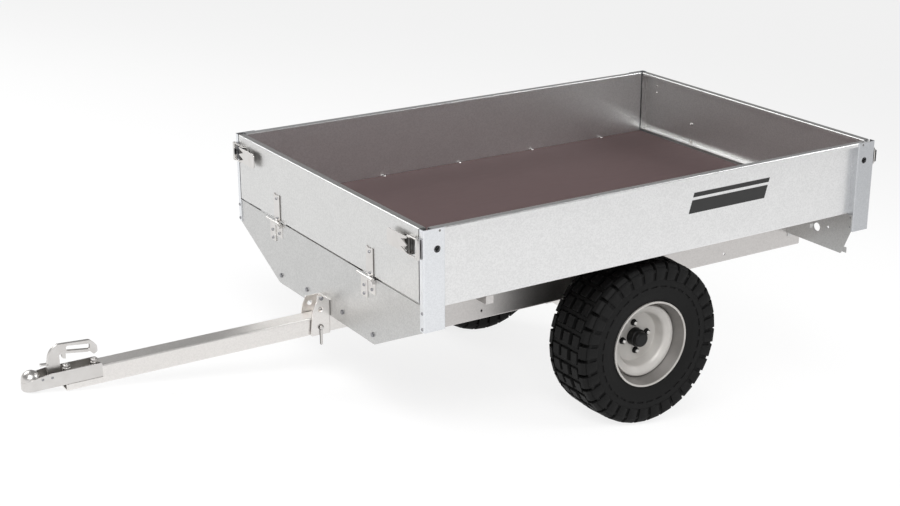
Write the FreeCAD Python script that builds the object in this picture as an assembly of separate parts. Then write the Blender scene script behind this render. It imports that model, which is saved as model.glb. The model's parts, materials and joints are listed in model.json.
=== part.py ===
"""Tipping utility trailer for an all-terrain vehicle: one STEP file for each piece.

Every piece is modelled on a level trailer: X forward to the coupling, Y to the left, Z up, with the
origin on the ground under the axle. Before export the whole trailer is pitched nose-down about its
axle, because with no jack it parks on its wheels and its coupling. Lengths are in millimetres.
"""

import FreeCAD, Part
import math
import os

Vector = FreeCAD.Vector

# ---------------------------------------------------------------- driving dimensions
# clearances
RUNNING_FIT = 0.05            # radial play of a pin or spindle in its bore
MOVING_GAP = 5.0              # air between a moving panel and its neighbour
PIN_GAP = 1.0                 # side play of a hinge or pivot

# bolts, in diameters
HEAD_FLATS = 1.5              # across the flats of a head or nut
HEAD_DEPTH = 0.625
NUT_DEPTH = 0.8

# bed
BED_FRONT = 886.0             # axle to the front face
BED_REAR = 897.0              # axle to the rear face
BED_WIDTH = 1250.0            # over the corner posts
BED_TOP = 841.0
SEAM_HEIGHT = 609.0           # hinge line between each gate and the panel under it
FLOOR_TOP = 605.0
FLOOR_THICKNESS = 15.0
SHEET = 2.5                   # folded galvanised sheet
SHEET_BEND = 2.0              # inner bend radius
SIDE_INSET = 25.0             # side panel's face behind the post's face
SIDE_LIP = 12.0               # turned-down edge of the side's top rail
SIDE_LEDGE = 22.0             # inward flange that carries the floor
GATE_DEPTH = 25.0
GATE_LIP = 12.0

# corner posts
POST_SHEET = 3.0
POST_SIDE = 74.0              # side face, along the trailer
POST_FLANGE = 22.0            # end flange beside the gate
POST_BOTTOM = 528.0
POST_HOLE_DIAMETER = 16.0
POST_HOLE_FROM_END = 46.0
POST_HOLE_BELOW_TOP = 62.0

# bed frame
BEAM_FACE = 318.0             # outer face of each long beam from the centre line
BEAM_FLANGE = 40.0
BEAM_BOTTOM = 385.0
BEAM_SHEET = 3.0
BEAM_REAR_OVERHANG = 14.0     # beam end ahead of the rear face
PANEL_BOTTOM = 388.0          # lower edge of the sloping front panel
PANEL_BESIDE_BEAM = 7.0       # panel's lower edge past each beam's outer face
PANEL_RETURN = 22.0
REAR_PANEL_BOTTOM = 531.0
GUSSET_LOW = 440.0            # lower edge of the rear gussets
GUSSET_CORNER_IN = 42.0       # gusset's low corner inside the post's face
GUSSET_TAB = 17.0             # small tab on the gusset's slanted edge
LAMP_HOLE_DIAMETER = 30.0
LAMP_HOLE_IN = 163.0          # inside the post's face
LAMP_HOLE_Z = 502.0
LAMP_TAB = 17.0               # cable tab punched out beside the lamp hole
WIRE_HOLE_DIAMETER = 9.0
WIRE_HOLE_IN = 110.0
WIRE_HOLE_Z = 516.0
OUTRIGGER_REAR = 628.0        # arm from each beam out to the side panel's ledge
OUTRIGGER_WIDTH = 27.0
OUTRIGGER_DEPTH = 26.0
CROSSBAR_HEIGHT = 60.0
CROSSBAR_WIDTH = 45.0
CROSSBAR_PLACES = (640.0, 240.0, -560.0)
BEAM_BOLT_PLACES = (487.0, -527.0)
BEAM_BOLT_HOLE = 9.0

# drawbar, axle and tipping pivot
DRAWBAR_SIZE = 60.0
DRAWBAR_WALL = 4.0
DRAWBAR_CORNER = 6.0
DRAWBAR_CENTRE = 360.0        # height of its centre line
DRAWBAR_END_BEHIND_BALL = 97.0
NOTCH_BEHIND_BALL = 209.0     # behind this the drawbar's top wall is whole
DRAWBAR_BEHIND_PIVOT = 48.0
AXLE_TUBE = 40.0
AXLE_WALL = 4.0
AXLE_HALF = 300.0
SADDLE_THICKNESS = 8.0
SADDLE_LENGTH = 120.0
SADDLE_FOOT = 0.6             # foot's length, as a share of the saddle's
SADDLE_ABOVE_CENTRE = 12.0    # cheeks' top above the drawbar's centre line
STUB_ROOT = 70.0              # square root of each stub axle inside the tube
STUB_COLLAR = 14.0
PIVOT_X = -200.0
PIVOT_BOLT = 20.0
PIVOT_SLEEVE = 38.0
PIVOT_SLEEVE_PROUD = 8.0      # sleeve past each side of the drawbar
LUG_THICKNESS = 8.0
LUG_WIDTH = 90.0
PIVOT_BOLT_END = 2.0          # bolt's end past its nut

# wheels
TYRE_RADIUS = 279.0
TYRE_WIDTH = 250.0
TYRE_WALL = 13.0
TYRE_BESIDE_BEAM = 14.0       # air between the beam and the tyre's inner wall
RIM_SEAT_RADIUS = 127.0
RIM_LIP_RADIUS = 149.0
RIM_INSIDE_TYRE = 11.0        # rim's flange inside the tyre's side wall
RIM_SHEET = 3.5
RIM_ROLL = 8.0                # rolled lip past each flange
RIM_WELL = 19.0               # depth of the drop centre
WELL_START = -22.0            # drop centre, from the wheel's middle
WELL_END = -64.0
DISC_PLANE = 28.0             # wheel disc, outboard of the wheel's middle
SHOULDER_PLANE = 55.0         # crest of the disc's round shoulder
SPINDLE = 30.0
HUB_BARREL = 60.0
HUB_CAP = 50.0
HUB_CAP_END = 75.0            # outboard of the wheel's middle
HUB_CAP_LENGTH = 16.0
HUB_CAP_WALL = 20.0           # solid end of the cap past the spindle's bore
HUB_BEHIND_DISC = 52.0        # barrel's inner end
WHEEL_NUT_FLATS = 19.0
WHEEL_NUT_HEIGHT = 15.0
STUD_CIRCLE = 100.0
STUD_TURN = -6.0              # first stud above the forward direction, in degrees
STUD_COUNT = 4
STUD = 12.0

# coupling
BALL_RADIUS = 25.0
BALL_X = 1854.0
BALL_Z = 380.0
COUPLING_BOTTOM = 351.0
COUPLING_TOP = 396.0
NOSE_TOP = 376.0              # wall's height round the nose
NOSE_SLOPE_BEHIND_BALL = 54.0 # where the walls start to drop towards the nose
COUPLING_WALL = 4.0
CUP_CLEARANCE = 0.4
HANDLE_HALF = 6.0
HANDLE_SHEET = 3.0
COUPLING_BOLTS_BEHIND_BALL = (196.0, 110.0)
COUPLING_BOLT = 12.0
COUPLING_SLEEVE = 19.0        # spacer sleeve under each nut
COUPLING_NUT_LOW = 10.0       # nut's seat below the channel's edge

# lock bracket on the front panel
EAR_THICKNESS = 4.0
EAR_TOP = 441.0
EAR_STOP_TOP = 464.0          # stop tab that rises from the left ear
EAR_REACH = 72.0              # front of the ears ahead of the panel, at the bottom
LOCK_PIN = 16.0
LOCK_HOLE = 17.0
LOCK_PIN_AHEAD = 36.0
LOCK_PIN_Z = 356.0
SPARE_HOLE_Z = 416.0
LOCK_GRIP_WIDTH = 12.0        # flat bar that hangs from the pin's end
LOCK_GRIP_END = 296.0

# gate hinges and latches
HINGE_FROM_EDGE = 311.0       # hinge's middle inside the post's face
HINGE_PIN = 7.0
HINGE_PIN_OUT = 8.0           # pin centre outside the gate's face
KNUCKLE_RADIUS = 6.5
KNUCKLE_START = -2.0          # strap's knuckle along the pin, from the strap's middle
KNUCKLE_END = 12.0
STRAP_WIDTH = 42.0
STRAP_TOP = 703.0
STRAP_SHEET = 3.0
LEAF_BOTTOM = 531.0
LEAF_STEP = 553.0             # lower edge of the leaf's short half
LEAF_LONG_END = 62.0          # leaf's ends and step, from the strap's middle
LEAF_STEP_FROM_MIDDLE = 22.0
LEAF_SHORT_END = 26.0
LEAF_THIN = 1.0               # thickness of its short half
HINGE_WEB = 1.5               # folded webs of strap and leaf past the pin's centre
PIN_TAIL = 70.0               # ends of the hinge pin from the strap's middle
PIN_HEAD = 30.0
LATCH_Z = 771.0
LATCH_HEIGHT = 48.0
CATCH_HEIGHT = 60.0
LATCH_SHEET = 3.0
LATCH_FROM_EDGE = 82.0        # latch's base from the gate's edge
LATCH_END_FROM_EDGE = 20.0
LATCH_PIN_FROM_EDGE = 32.0
LEVER_FROM_EDGE = 36.0
LEVER_STANDOFF = 15.0         # lever's back off the gate's face
LEVER_LENGTH = 90.0
LEVER_HALF = 20.0
LEVER_CORNER = 12.0           # rounded corners of the lever's free end
LOOP_BAR = 6.0
LOOP_DEPTH = 11.0             # loop's middle outside the gate's face
LOOP_HALF = 22.0
LOOP_FROM_POST_FACE = 10.0    # loop's outer run inside the post's side face

# ---------------------------------------------------------------- worked-out sizes
HALF_WIDTH = BED_WIDTH / 2
AXLE_HEIGHT = TYRE_RADIUS
WHEEL_CENTRE = BEAM_FACE + TYRE_BESIDE_BEAM + TYRE_WIDTH / 2
RIM_HALF_WIDTH = TYRE_WIDTH / 2 - RIM_INSIDE_TYRE
SIDE_FACE = HALF_WIDTH - SIDE_INSET
FLOOR_BOTTOM = FLOOR_TOP - FLOOR_THICKNESS
GATE_BOTTOM = SEAM_HEIGHT + MOVING_GAP / 2
PANEL_TOP = SEAM_HEIGHT - MOVING_GAP / 2
GATE_HALF = HALF_WIDTH - POST_FLANGE - MOVING_GAP
SIDE_FRONT = BED_FRONT - GATE_DEPTH - MOVING_GAP
SIDE_REAR = BED_REAR - GATE_DEPTH - MOVING_GAP
DRAWBAR_HALF = DRAWBAR_SIZE / 2
DRAWBAR_TOP = DRAWBAR_CENTRE + DRAWBAR_HALF
DRAWBAR_BOTTOM = DRAWBAR_CENTRE - DRAWBAR_HALF
DRAWBAR_REAR = PIVOT_X - DRAWBAR_BEHIND_PIVOT
BEAM_INSIDE = BEAM_FACE - BEAM_SHEET
BEAM_REAR = BED_REAR - BEAM_REAR_OVERHANG
CROSSBAR_TOP = FLOOR_BOTTOM - BEAM_SHEET
HINGE_Z = SEAM_HEIGHT - 4.0
HINGE_Y = HALF_WIDTH - HINGE_FROM_EDGE
PANEL_BOTTOM_HALF = BEAM_FACE + PANEL_BESIDE_BEAM
GUSSET_X = -BED_REAR + POST_SIDE
GUSSET_CORNER = HALF_WIDTH - GUSSET_CORNER_IN
LAMP_HOLE_Y = HALF_WIDTH - LAMP_HOLE_IN
WIRE_HOLE_Y = HALF_WIDTH - WIRE_HOLE_IN
DRAWBAR_FRONT = BALL_X - DRAWBAR_END_BEHIND_BALL
DRAWBAR_NOTCH = BALL_X - NOTCH_BEHIND_BALL
PIVOT_SLEEVE_LENGTH = DRAWBAR_SIZE + 2 * PIVOT_SLEEVE_PROUD
COUPLING_BOLTS = [BALL_X - back for back in COUPLING_BOLTS_BEHIND_BALL]
LOCK_PIN_X = BED_FRONT - POST_SHEET + LOCK_PIN_AHEAD
LATCH_INNER = GATE_HALF - LATCH_FROM_EDGE
LOOP_REACH = HALF_WIDTH - LOOP_FROM_POST_FACE
FRONT, REAR = 1, -1
LEFT, RIGHT = 1, -1


# ---------------------------------------------------------------- shape helpers
def point_in(plane, u, v, w=0.0):
    """Point with coordinates u, v in a plane and w along its normal."""
    if plane == "XY":
        return Vector(u, v, w)
    if plane == "XZ":
        return Vector(u, w, v)
    return Vector(w, u, v)


def rounded_face(plane, outline, w=0.0):
    """Flat face with corners (u, v) or (u, v, corner radius), in a plane at height w."""
    count = len(outline)
    corners = [(p[0], p[1], p[2] if len(p) > 2 else 0.0) for p in outline]
    edges = []
    starts = []
    ends = []
    arcs = []
    for i in range(count):
        u, v, radius = corners[i]
        before = corners[i - 1]
        after = corners[(i + 1) % count]
        in_u, in_v = u - before[0], v - before[1]
        out_u, out_v = after[0] - u, after[1] - v
        in_len = math.hypot(in_u, in_v)
        out_len = math.hypot(out_u, out_v)
        in_u, in_v = in_u / in_len, in_v / in_len
        out_u, out_v = out_u / out_len, out_v / out_len
        turn = math.atan2(in_u * out_v - in_v * out_u, in_u * out_u + in_v * out_v)
        if radius <= 0 or abs(turn) < 1e-6:
            starts.append((u, v))
            ends.append((u, v))
            arcs.append(None)
            continue
        setback = radius * math.tan(abs(turn) / 2)
        first = (u - in_u * setback, v - in_v * setback)
        last = (u + out_u * setback, v + out_v * setback)
        side = 1.0 if turn > 0 else -1.0
        centre = (first[0] - in_v * side * radius, first[1] + in_u * side * radius)
        to_corner = (u - centre[0], v - centre[1])
        reach = math.hypot(to_corner[0], to_corner[1])
        middle = (centre[0] + to_corner[0] / reach * radius, centre[1] + to_corner[1] / reach * radius)
        starts.append(first)
        ends.append(last)
        arcs.append(middle)
    for i in range(count):
        if arcs[i] is not None:
            edges.append(Part.Arc(point_in(plane, *starts[i], w), point_in(plane, *arcs[i], w),
                                  point_in(plane, *ends[i], w)).toShape())
        following = (i + 1) % count
        a, b = ends[i], starts[following]
        if math.hypot(a[0] - b[0], a[1] - b[1]) > 1e-6:
            edges.append(Part.makeLine(point_in(plane, *a, w), point_in(plane, *b, w)))
    return Part.Face(Part.Wire(edges))


def prism(plane, outline, w0, w1):
    """Solid of an outline from height w0 to w1 along the plane's normal."""
    return rounded_face(plane, outline, w0).extrude(point_in(plane, 0, 0, w1 - w0))


def fold_outline(path, thickness, bend):
    """Closed outline of a sheet folded along an open path; the sheet lies left of the path.

    A bend of 0 leaves every corner sharp.
    """
    near = []
    far = []
    last = len(path) - 1
    for i in range(last + 1):
        u, v = path[i]
        if i in (0, last):
            a, b = (path[0], path[1]) if i == 0 else (path[last - 1], path[last])
            length = math.hypot(b[0] - a[0], b[1] - a[1])
            normal = (-(b[1] - a[1]) / length, (b[0] - a[0]) / length)
            near.append((u, v))
            far.append((u + normal[0] * thickness, v + normal[1] * thickness))
            continue
        a, b = path[i - 1], path[i + 1]
        in_len = math.hypot(u - a[0], v - a[1])
        out_len = math.hypot(b[0] - u, b[1] - v)
        n0 = (-(v - a[1]) / in_len, (u - a[0]) / in_len)
        n1 = (-(b[1] - v) / out_len, (b[0] - u) / out_len)
        scale = thickness / (1 + n0[0] * n1[0] + n0[1] * n1[1])
        turn = n0[0] * n1[1] - n0[1] * n1[0]
        outer = bend + thickness if bend > 0 else 0.0
        near.append((u, v, outer if turn > 0 else bend))
        far.append((u + (n0[0] + n1[0]) * scale, v + (n0[1] + n1[1]) * scale,
                    bend if turn > 0 else outer))
    return near + far[::-1]


def folded(plane, path, w0, w1, thickness=SHEET, bend=SHEET_BEND):
    """Folded sheet: a path in a plane, drawn out from w0 to w1."""
    return prism(plane, fold_outline(path, thickness, bend), w0, w1)


def block(x0, x1, y0, y1, z0, z1):
    """Box between two corners."""
    return Part.makeBox(x1 - x0, y1 - y0, z1 - z0, Vector(x0, y0, z0))


def rod(start, end, radius):
    """Round bar between two points."""
    along = end - start
    return Part.makeCylinder(radius, along.Length, start, along)


def rod_y(x, z, y0, y1, radius):
    """Round bar across the trailer."""
    return rod(Vector(x, y0, z), Vector(x, y1, z), radius)


def hexagon(start, along, across_flats, height):
    """Hexagonal nut or bolt head."""
    direction = Vector(along)
    direction.normalize()
    side = direction.cross(Vector(0, 0, 1))
    if side.Length < 0.1:
        side = Vector(1, 0, 0)
    side.normalize()
    other = direction.cross(side)
    reach = across_flats / math.sqrt(3)
    corners = []
    for i in range(7):
        angle = math.radians(60 * i)
        corners.append(start + side * (reach * math.cos(angle)) + other * (reach * math.sin(angle)))
    return Part.Face(Part.makePolygon(corners)).extrude(direction * height)


def offset(points, u0, v0):
    """Outline corners given from a point, moved to where that point is."""
    return [(p[0] + u0, p[1] + v0) + tuple(p[2:]) for p in points]


def mirrored(shape):
    """The same piece on the other side of the trailer."""
    return shape.mirror(Vector(0, 0, 0), Vector(0, 1, 0))


def on_side(shape, side):
    """A piece made for the left, kept or mirrored to the right."""
    return shape if side == LEFT else mirrored(shape)


def fused(shapes):
    """One solid of touching or overlapping shapes."""
    whole = shapes[0].multiFuse(shapes[1:]) if len(shapes) > 1 else shapes[0]
    return whole.removeSplitter()


def together(shapes):
    """Separate solids of one piece."""
    return Part.makeCompound([s for shape in shapes for s in shape.Solids])


# ---------------------------------------------------------------- bed: panels and posts
def end_x(end):
    """Face of the bed at its front or rear end."""
    return BED_FRONT if end == FRONT else -BED_REAR


def side_panel(side):
    """Side of the bed: flat web, turned-out top rail with a lip, inward ledge under the floor."""
    rail = SIDE_FACE + SIDE_INSET - POST_SHEET - SHEET
    path = [
        (SIDE_FACE - SIDE_LEDGE, FLOOR_BOTTOM - SHEET),
        (SIDE_FACE, FLOOR_BOTTOM - SHEET),
        (SIDE_FACE, BED_TOP - SHEET),
        (rail, BED_TOP - SHEET),
        (rail, BED_TOP - SIDE_LIP),
    ]
    return on_side(folded("YZ", path, -SIDE_REAR, SIDE_FRONT), side)


def corner_post(end, side):
    """Folded corner post: end flange beside the gate, side face, return flange to the side panel."""
    face = end_x(end)
    inner = face - end * POST_SIDE
    path = [
        (face, HALF_WIDTH - POST_FLANGE),
        (face, HALF_WIDTH),
        (inner, HALF_WIDTH),
        (inner, SIDE_FACE),
    ]
    if end == REAR:
        path = path[::-1]
    post = folded("XY", path, POST_BOTTOM, BED_TOP, POST_SHEET, SHEET_BEND)
    lip_room = SIDE_LIP + 1.0
    return_x = sorted((inner, inner + end * (POST_SHEET + 2 * SHEET_BEND)))
    notch = block(return_x[0] - 1, return_x[1], SIDE_FACE - 1, HALF_WIDTH - POST_SHEET,
                  BED_TOP - lip_room, BED_TOP + 1)
    hole = rod_y(face - end * POST_HOLE_FROM_END, BED_TOP - POST_HOLE_BELOW_TOP,
                 HALF_WIDTH - 4 * POST_SHEET, HALF_WIDTH + 1, POST_HOLE_DIAMETER / 2)
    return on_side(post.cut(notch).cut(hole), side)


def gate(end):
    """Folding gate: a shallow tray with four turned-in edges and a lip on the top one."""
    face = end_x(end)
    inner = face - end * GATE_DEPTH
    skin = face - end * SHEET
    cross = [
        (inner + end * SHEET, BED_TOP - GATE_LIP),
        (inner + end * SHEET, BED_TOP - SHEET),
        (skin, BED_TOP - SHEET),
        (skin, GATE_BOTTOM + SHEET),
        (inner, GATE_BOTTOM + SHEET),
    ]
    if end == REAR:
        cross = cross[::-1]
    tray = folded("XZ", cross, -GATE_HALF, GATE_HALF)
    edges = []
    for side in (LEFT, RIGHT):
        x0, x1 = sorted((inner, skin))
        edge = block(x0, x1, GATE_HALF - SHEET, GATE_HALF, GATE_BOTTOM + SHEET, BED_TOP - SHEET)
        edges.append(on_side(edge, side))
    return fused([tray] + edges)


def front_panel():
    """Fixed panel under the front gate, sloping in to the beams, with a folded lower edge."""
    face = BED_FRONT - POST_SHEET
    back = face - SHEET
    low = PANEL_BOTTOM
    wide = HALF_WIDTH - POST_SHEET - SHEET_BEND
    notch_half = DRAWBAR_HALF + MOVING_GAP
    outline = [
        (-wide, PANEL_TOP), (-wide, POST_BOTTOM), (-PANEL_BOTTOM_HALF, low),
        (PANEL_BOTTOM_HALF, low), (wide, POST_BOTTOM), (wide, PANEL_TOP),
    ]
    web = prism("YZ", outline, back, face)
    slope = math.hypot(wide - PANEL_BOTTOM_HALF, POST_BOTTOM - low)
    tilt = math.degrees(math.atan2(POST_BOTTOM - low, wide - PANEL_BOTTOM_HALF))
    returns = [block(back - PANEL_RETURN, back, -PANEL_BOTTOM_HALF, PANEL_BOTTOM_HALF, low, low + SHEET)]
    strip = block(back - PANEL_RETURN, back, 0, slope, 0, SHEET)
    strip.rotate(Vector(0, 0, 0), Vector(1, 0, 0), tilt)
    strip.translate(Vector(0, PANEL_BOTTOM_HALF, low))
    returns += [strip, mirrored(strip)]
    top = block(back - PANEL_RETURN, back, -SIDE_FACE + SHEET, SIDE_FACE - SHEET,
                PANEL_TOP - FLOOR_THICKNESS - 2 * SHEET, PANEL_TOP - FLOOR_THICKNESS - SHEET)
    room = block(back - PANEL_RETURN - 1, face + 1, -notch_half, notch_half,
                 low - 1, DRAWBAR_TOP + MOVING_GAP)
    beam_room = [on_side(block(back - PANEL_RETURN - 1, back, BEAM_FACE - BEAM_FLANGE, BEAM_FACE,
                               BEAM_BOTTOM, low + SHEET + 0.5), s) for s in (LEFT, RIGHT)]
    return fused([web] + returns + [top]).cut(room).cut(fused(beam_room))


def rear_panel():
    """Shallow fixed panel under the tailgate, with folded edges."""
    face = -BED_REAR + POST_SHEET
    wide = HALF_WIDTH - POST_SHEET - SHEET_BEND
    path = [
        (face + PANEL_RETURN, REAR_PANEL_BOTTOM), (face, REAR_PANEL_BOTTOM),
        (face, PANEL_TOP),
    ]
    web = folded("XZ", path[::-1], -wide, wide)
    return web


def rear_gusset(side):
    """Plate from the beam out to the rear post, with the tail lamp's holes and two small tabs."""
    outer = HALF_WIDTH - POST_SHEET - PIN_GAP
    top = FLOOR_BOTTOM - SHEET - PIN_GAP
    outline = [(BEAM_FACE, GUSSET_LOW), (GUSSET_CORNER, GUSSET_LOW, 6.0), (outer, POST_BOTTOM),
               (outer, top), (BEAM_FACE, top)]
    plate = prism("YZ", outline, GUSSET_X, GUSSET_X + SHEET)
    lean = math.atan2(outer - GUSSET_CORNER, POST_BOTTOM - GUSSET_LOW)
    tab_y = GUSSET_CORNER + GUSSET_TAB * math.tan(lean)
    edge_tab = block(GUSSET_X, GUSSET_X + SHEET, tab_y - SHEET, tab_y + GUSSET_TAB,
                     GUSSET_LOW + GUSSET_TAB / 2, GUSSET_LOW + GUSSET_TAB * 1.6)
    cable_y = LAMP_HOLE_Y - LAMP_HOLE_DIAMETER / 2 - SHEET
    cable_tab = block(GUSSET_X, GUSSET_X + SHEET + LAMP_TAB, cable_y - SHEET, cable_y,
                      LAMP_HOLE_Z - LAMP_TAB / 2, LAMP_HOLE_Z + LAMP_TAB / 2)
    foot = block(GUSSET_X - PANEL_RETURN, GUSSET_X, BEAM_FACE, BEAM_FACE + SHEET, GUSSET_LOW - 14,
                 REAR_PANEL_BOTTOM)
    holes = []
    for y, z, across in ((LAMP_HOLE_Y, LAMP_HOLE_Z, LAMP_HOLE_DIAMETER),
                         (WIRE_HOLE_Y, WIRE_HOLE_Z, WIRE_HOLE_DIAMETER)):
        holes.append(rod(Vector(GUSSET_X - 1, y, z), Vector(GUSSET_X + SHEET + 1, y, z), across / 2))
    return on_side(fused([plate, edge_tab, cable_tab, foot]).cut(fused(holes)), side)


def floor_board():
    """Film-faced plywood floor."""
    wide = SIDE_FACE - SHEET - SHEET_BEND
    return block(-SIDE_REAR, SIDE_FRONT, -wide, wide, FLOOR_BOTTOM, FLOOR_TOP)


# ---------------------------------------------------------------- bed: frame
def beam(side):
    """Deep folded channel along the bed, open towards the centre line."""
    top = FLOOR_BOTTOM
    path = [
        (BEAM_FACE - BEAM_FLANGE, BEAM_BOTTOM), (BEAM_FACE, BEAM_BOTTOM),
        (BEAM_FACE, top), (BEAM_FACE - BEAM_FLANGE, top),
    ]
    front = BED_FRONT - POST_SHEET - SHEET
    channel = folded("YZ", path, -BEAM_REAR, front, BEAM_SHEET, 3.0)
    panel_fold = block(front - PANEL_RETURN, front, 0, BEAM_FACE + 1,
                       PANEL_TOP - FLOOR_THICKNESS - 2 * SHEET, FLOOR_BOTTOM + 1)
    holes = [rod_y(x, BEAM_BOTTOM + 29, BEAM_INSIDE - 2, BEAM_FACE + 2, BEAM_BOLT_HOLE / 2)
             for x in BEAM_BOLT_PLACES]
    rear_room = block(-BED_REAR, -BED_REAR + POST_SHEET + PANEL_RETURN + PIN_GAP, 0, BEAM_FACE + 1,
                      REAR_PANEL_BOTTOM - PIN_GAP, FLOOR_BOTTOM + 1)
    return on_side(channel.cut(panel_fold).cut(rear_room).cut(fused(holes)), side)


def crossbars():
    """Channels between the beams that carry the floor."""
    bars = []
    for x in CROSSBAR_PLACES:
        path = [
            (x + CROSSBAR_WIDTH, CROSSBAR_TOP - CROSSBAR_HEIGHT), (x, CROSSBAR_TOP - CROSSBAR_HEIGHT),
            (x, CROSSBAR_TOP), (x + CROSSBAR_WIDTH, CROSSBAR_TOP),
        ]
        bar = folded("XZ", path[::-1], -BEAM_INSIDE, BEAM_INSIDE, SHEET, SHEET_BEND)
        bars.append(bar.cut(beam(LEFT)).cut(beam(RIGHT)))
    return together(bars)


def outriggers():
    """Short arms that carry the floor's edges, one from each beam out to the side panel's ledge."""
    x0, x1 = OUTRIGGER_REAR, OUTRIGGER_REAR + OUTRIGGER_WIDTH
    top = FLOOR_BOTTOM - SHEET
    low = top - OUTRIGGER_DEPTH
    end = SIDE_FACE - SHEET
    path = [(x0, low), (x0, top), (x1, top), (x1, low)]
    arm = folded("XZ", path[::-1], BEAM_FACE, end)
    cap = block(x0 + SHEET_BEND, x1 - SHEET_BEND, end - SHEET, end, low, top - SHEET_BEND)
    arm = fused([arm, cap])
    return together([arm, mirrored(arm)])


def pivot_crossbar():
    """Box bar over the tipping pivot, between the beams."""
    half = LUG_WIDTH / 2
    outer = block(PIVOT_X - half, PIVOT_X + half, -BEAM_INSIDE, BEAM_INSIDE,
                  CROSSBAR_TOP - CROSSBAR_HEIGHT, CROSSBAR_TOP)
    wall = BEAM_SHEET
    inner = block(PIVOT_X - half + wall, PIVOT_X + half - wall, -BEAM_INSIDE - 1, BEAM_INSIDE + 1,
                  CROSSBAR_TOP - CROSSBAR_HEIGHT + wall, CROSSBAR_TOP - wall)
    return outer.cut(inner).cut(beam(LEFT)).cut(beam(RIGHT))


def pivot_lugs():
    """Pair of tapered plates that hang from the pivot crossbar to the pivot bolt."""
    inner = PIVOT_SLEEVE_LENGTH / 2 + PIN_GAP
    eye = PIVOT_BOLT * 1.4
    top = CROSSBAR_TOP - CROSSBAR_HEIGHT
    half = LUG_WIDTH / 2
    outline = [
        (PIVOT_X - half, top), (PIVOT_X - eye, DRAWBAR_CENTRE - eye, eye * 0.9),
        (PIVOT_X + eye, DRAWBAR_CENTRE - eye, eye * 0.9), (PIVOT_X + half, top),
    ]
    plate = prism("XZ", outline, inner, inner + LUG_THICKNESS)
    plate = plate.cut(rod_y(PIVOT_X, DRAWBAR_CENTRE, inner - 1, inner + LUG_THICKNESS + 1,
                            PIVOT_BOLT / 2))
    return together([plate, mirrored(plate)])


def pivot_bolt():
    """Tipping pivot: shank, head and nut, clamped in the lugs."""
    out = PIVOT_SLEEVE_LENGTH / 2 + PIN_GAP + LUG_THICKNESS
    nut_depth = PIVOT_BOLT * NUT_DEPTH
    flats = PIVOT_BOLT * HEAD_FLATS
    shank = rod_y(PIVOT_X, DRAWBAR_CENTRE, -out - nut_depth - PIVOT_BOLT_END, out, PIVOT_BOLT / 2)
    head = hexagon(Vector(PIVOT_X, out, DRAWBAR_CENTRE), (0, 1, 0), flats, PIVOT_BOLT * HEAD_DEPTH)
    nut = hexagon(Vector(PIVOT_X, -out, DRAWBAR_CENTRE), (0, -1, 0), flats, nut_depth)
    return fused([shank, head, nut])


def lock_bracket():
    """Folded bracket on the front panel that straddles the drawbar, with the lock pin's holes."""
    outside = DRAWBAR_HALF + MOVING_GAP + EAR_THICKNESS
    face = BED_FRONT - POST_SHEET
    front = face + EAR_REACH
    wrap = folded("XY", [(front, -outside), (face, -outside), (face, outside), (front, outside)][::-1],
                  DRAWBAR_BOTTOM, EAR_STOP_TOP, EAR_THICKNESS, SHEET_BEND)
    side = [
        (face, DRAWBAR_BOTTOM), (front, DRAWBAR_BOTTOM, 4.0), (front - 8, EAR_TOP - 33, 80.0),
        (front - 23, EAR_TOP, 4.0), (face, EAR_TOP),
    ]
    stop = [
        (face + EAR_THICKNESS, EAR_TOP - 9), (front - 24, EAR_TOP - 9), (front - 28, EAR_STOP_TOP, 3.0),
        (front - 43, EAR_STOP_TOP - 5, 20.0), (face + EAR_THICKNESS, EAR_TOP + 4),
    ]
    outline = fused([prism("XZ", side, -outside, outside),
                     prism("XZ", stop, outside - EAR_THICKNESS, outside)])
    over_drawbar = block(face - 1, face + EAR_THICKNESS + SHEET_BEND, -outside + EAR_THICKNESS,
                         outside - EAR_THICKNESS, DRAWBAR_BOTTOM - 1, DRAWBAR_TOP + MOVING_GAP)
    holes = [rod_y(LOCK_PIN_X, z, -outside - 1, outside + 1, LOCK_HOLE / 2)
             for z in (LOCK_PIN_Z, SPARE_HOLE_Z)]
    return wrap.common(outline).cut(over_drawbar).cut(fused(holes))


def lock_pin():
    """Round lock pin in the left ear, with the flat grip that hangs from its end."""
    grip_y = DRAWBAR_HALF + MOVING_GAP + EAR_THICKNESS
    shank = rod_y(LOCK_PIN_X, LOCK_PIN_Z, DRAWBAR_HALF + PIN_GAP, grip_y + LOCK_PIN / 2, LOCK_PIN / 2)
    half = LOCK_GRIP_WIDTH / 2
    grip = prism("XZ", [(LOCK_PIN_X - half, LOCK_PIN_Z), (LOCK_PIN_X - half, LOCK_GRIP_END, 4.0),
                        (LOCK_PIN_X + half, LOCK_GRIP_END, 4.0), (LOCK_PIN_X + half, LOCK_PIN_Z)],
                 grip_y, grip_y + EAR_THICKNESS)
    return fused([shank, grip])


# ---------------------------------------------------------------- hinges and latches
def hinge_x(end):
    """Hinge pin's place along the trailer."""
    return end_x(end) + end * HINGE_PIN_OUT


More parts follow.
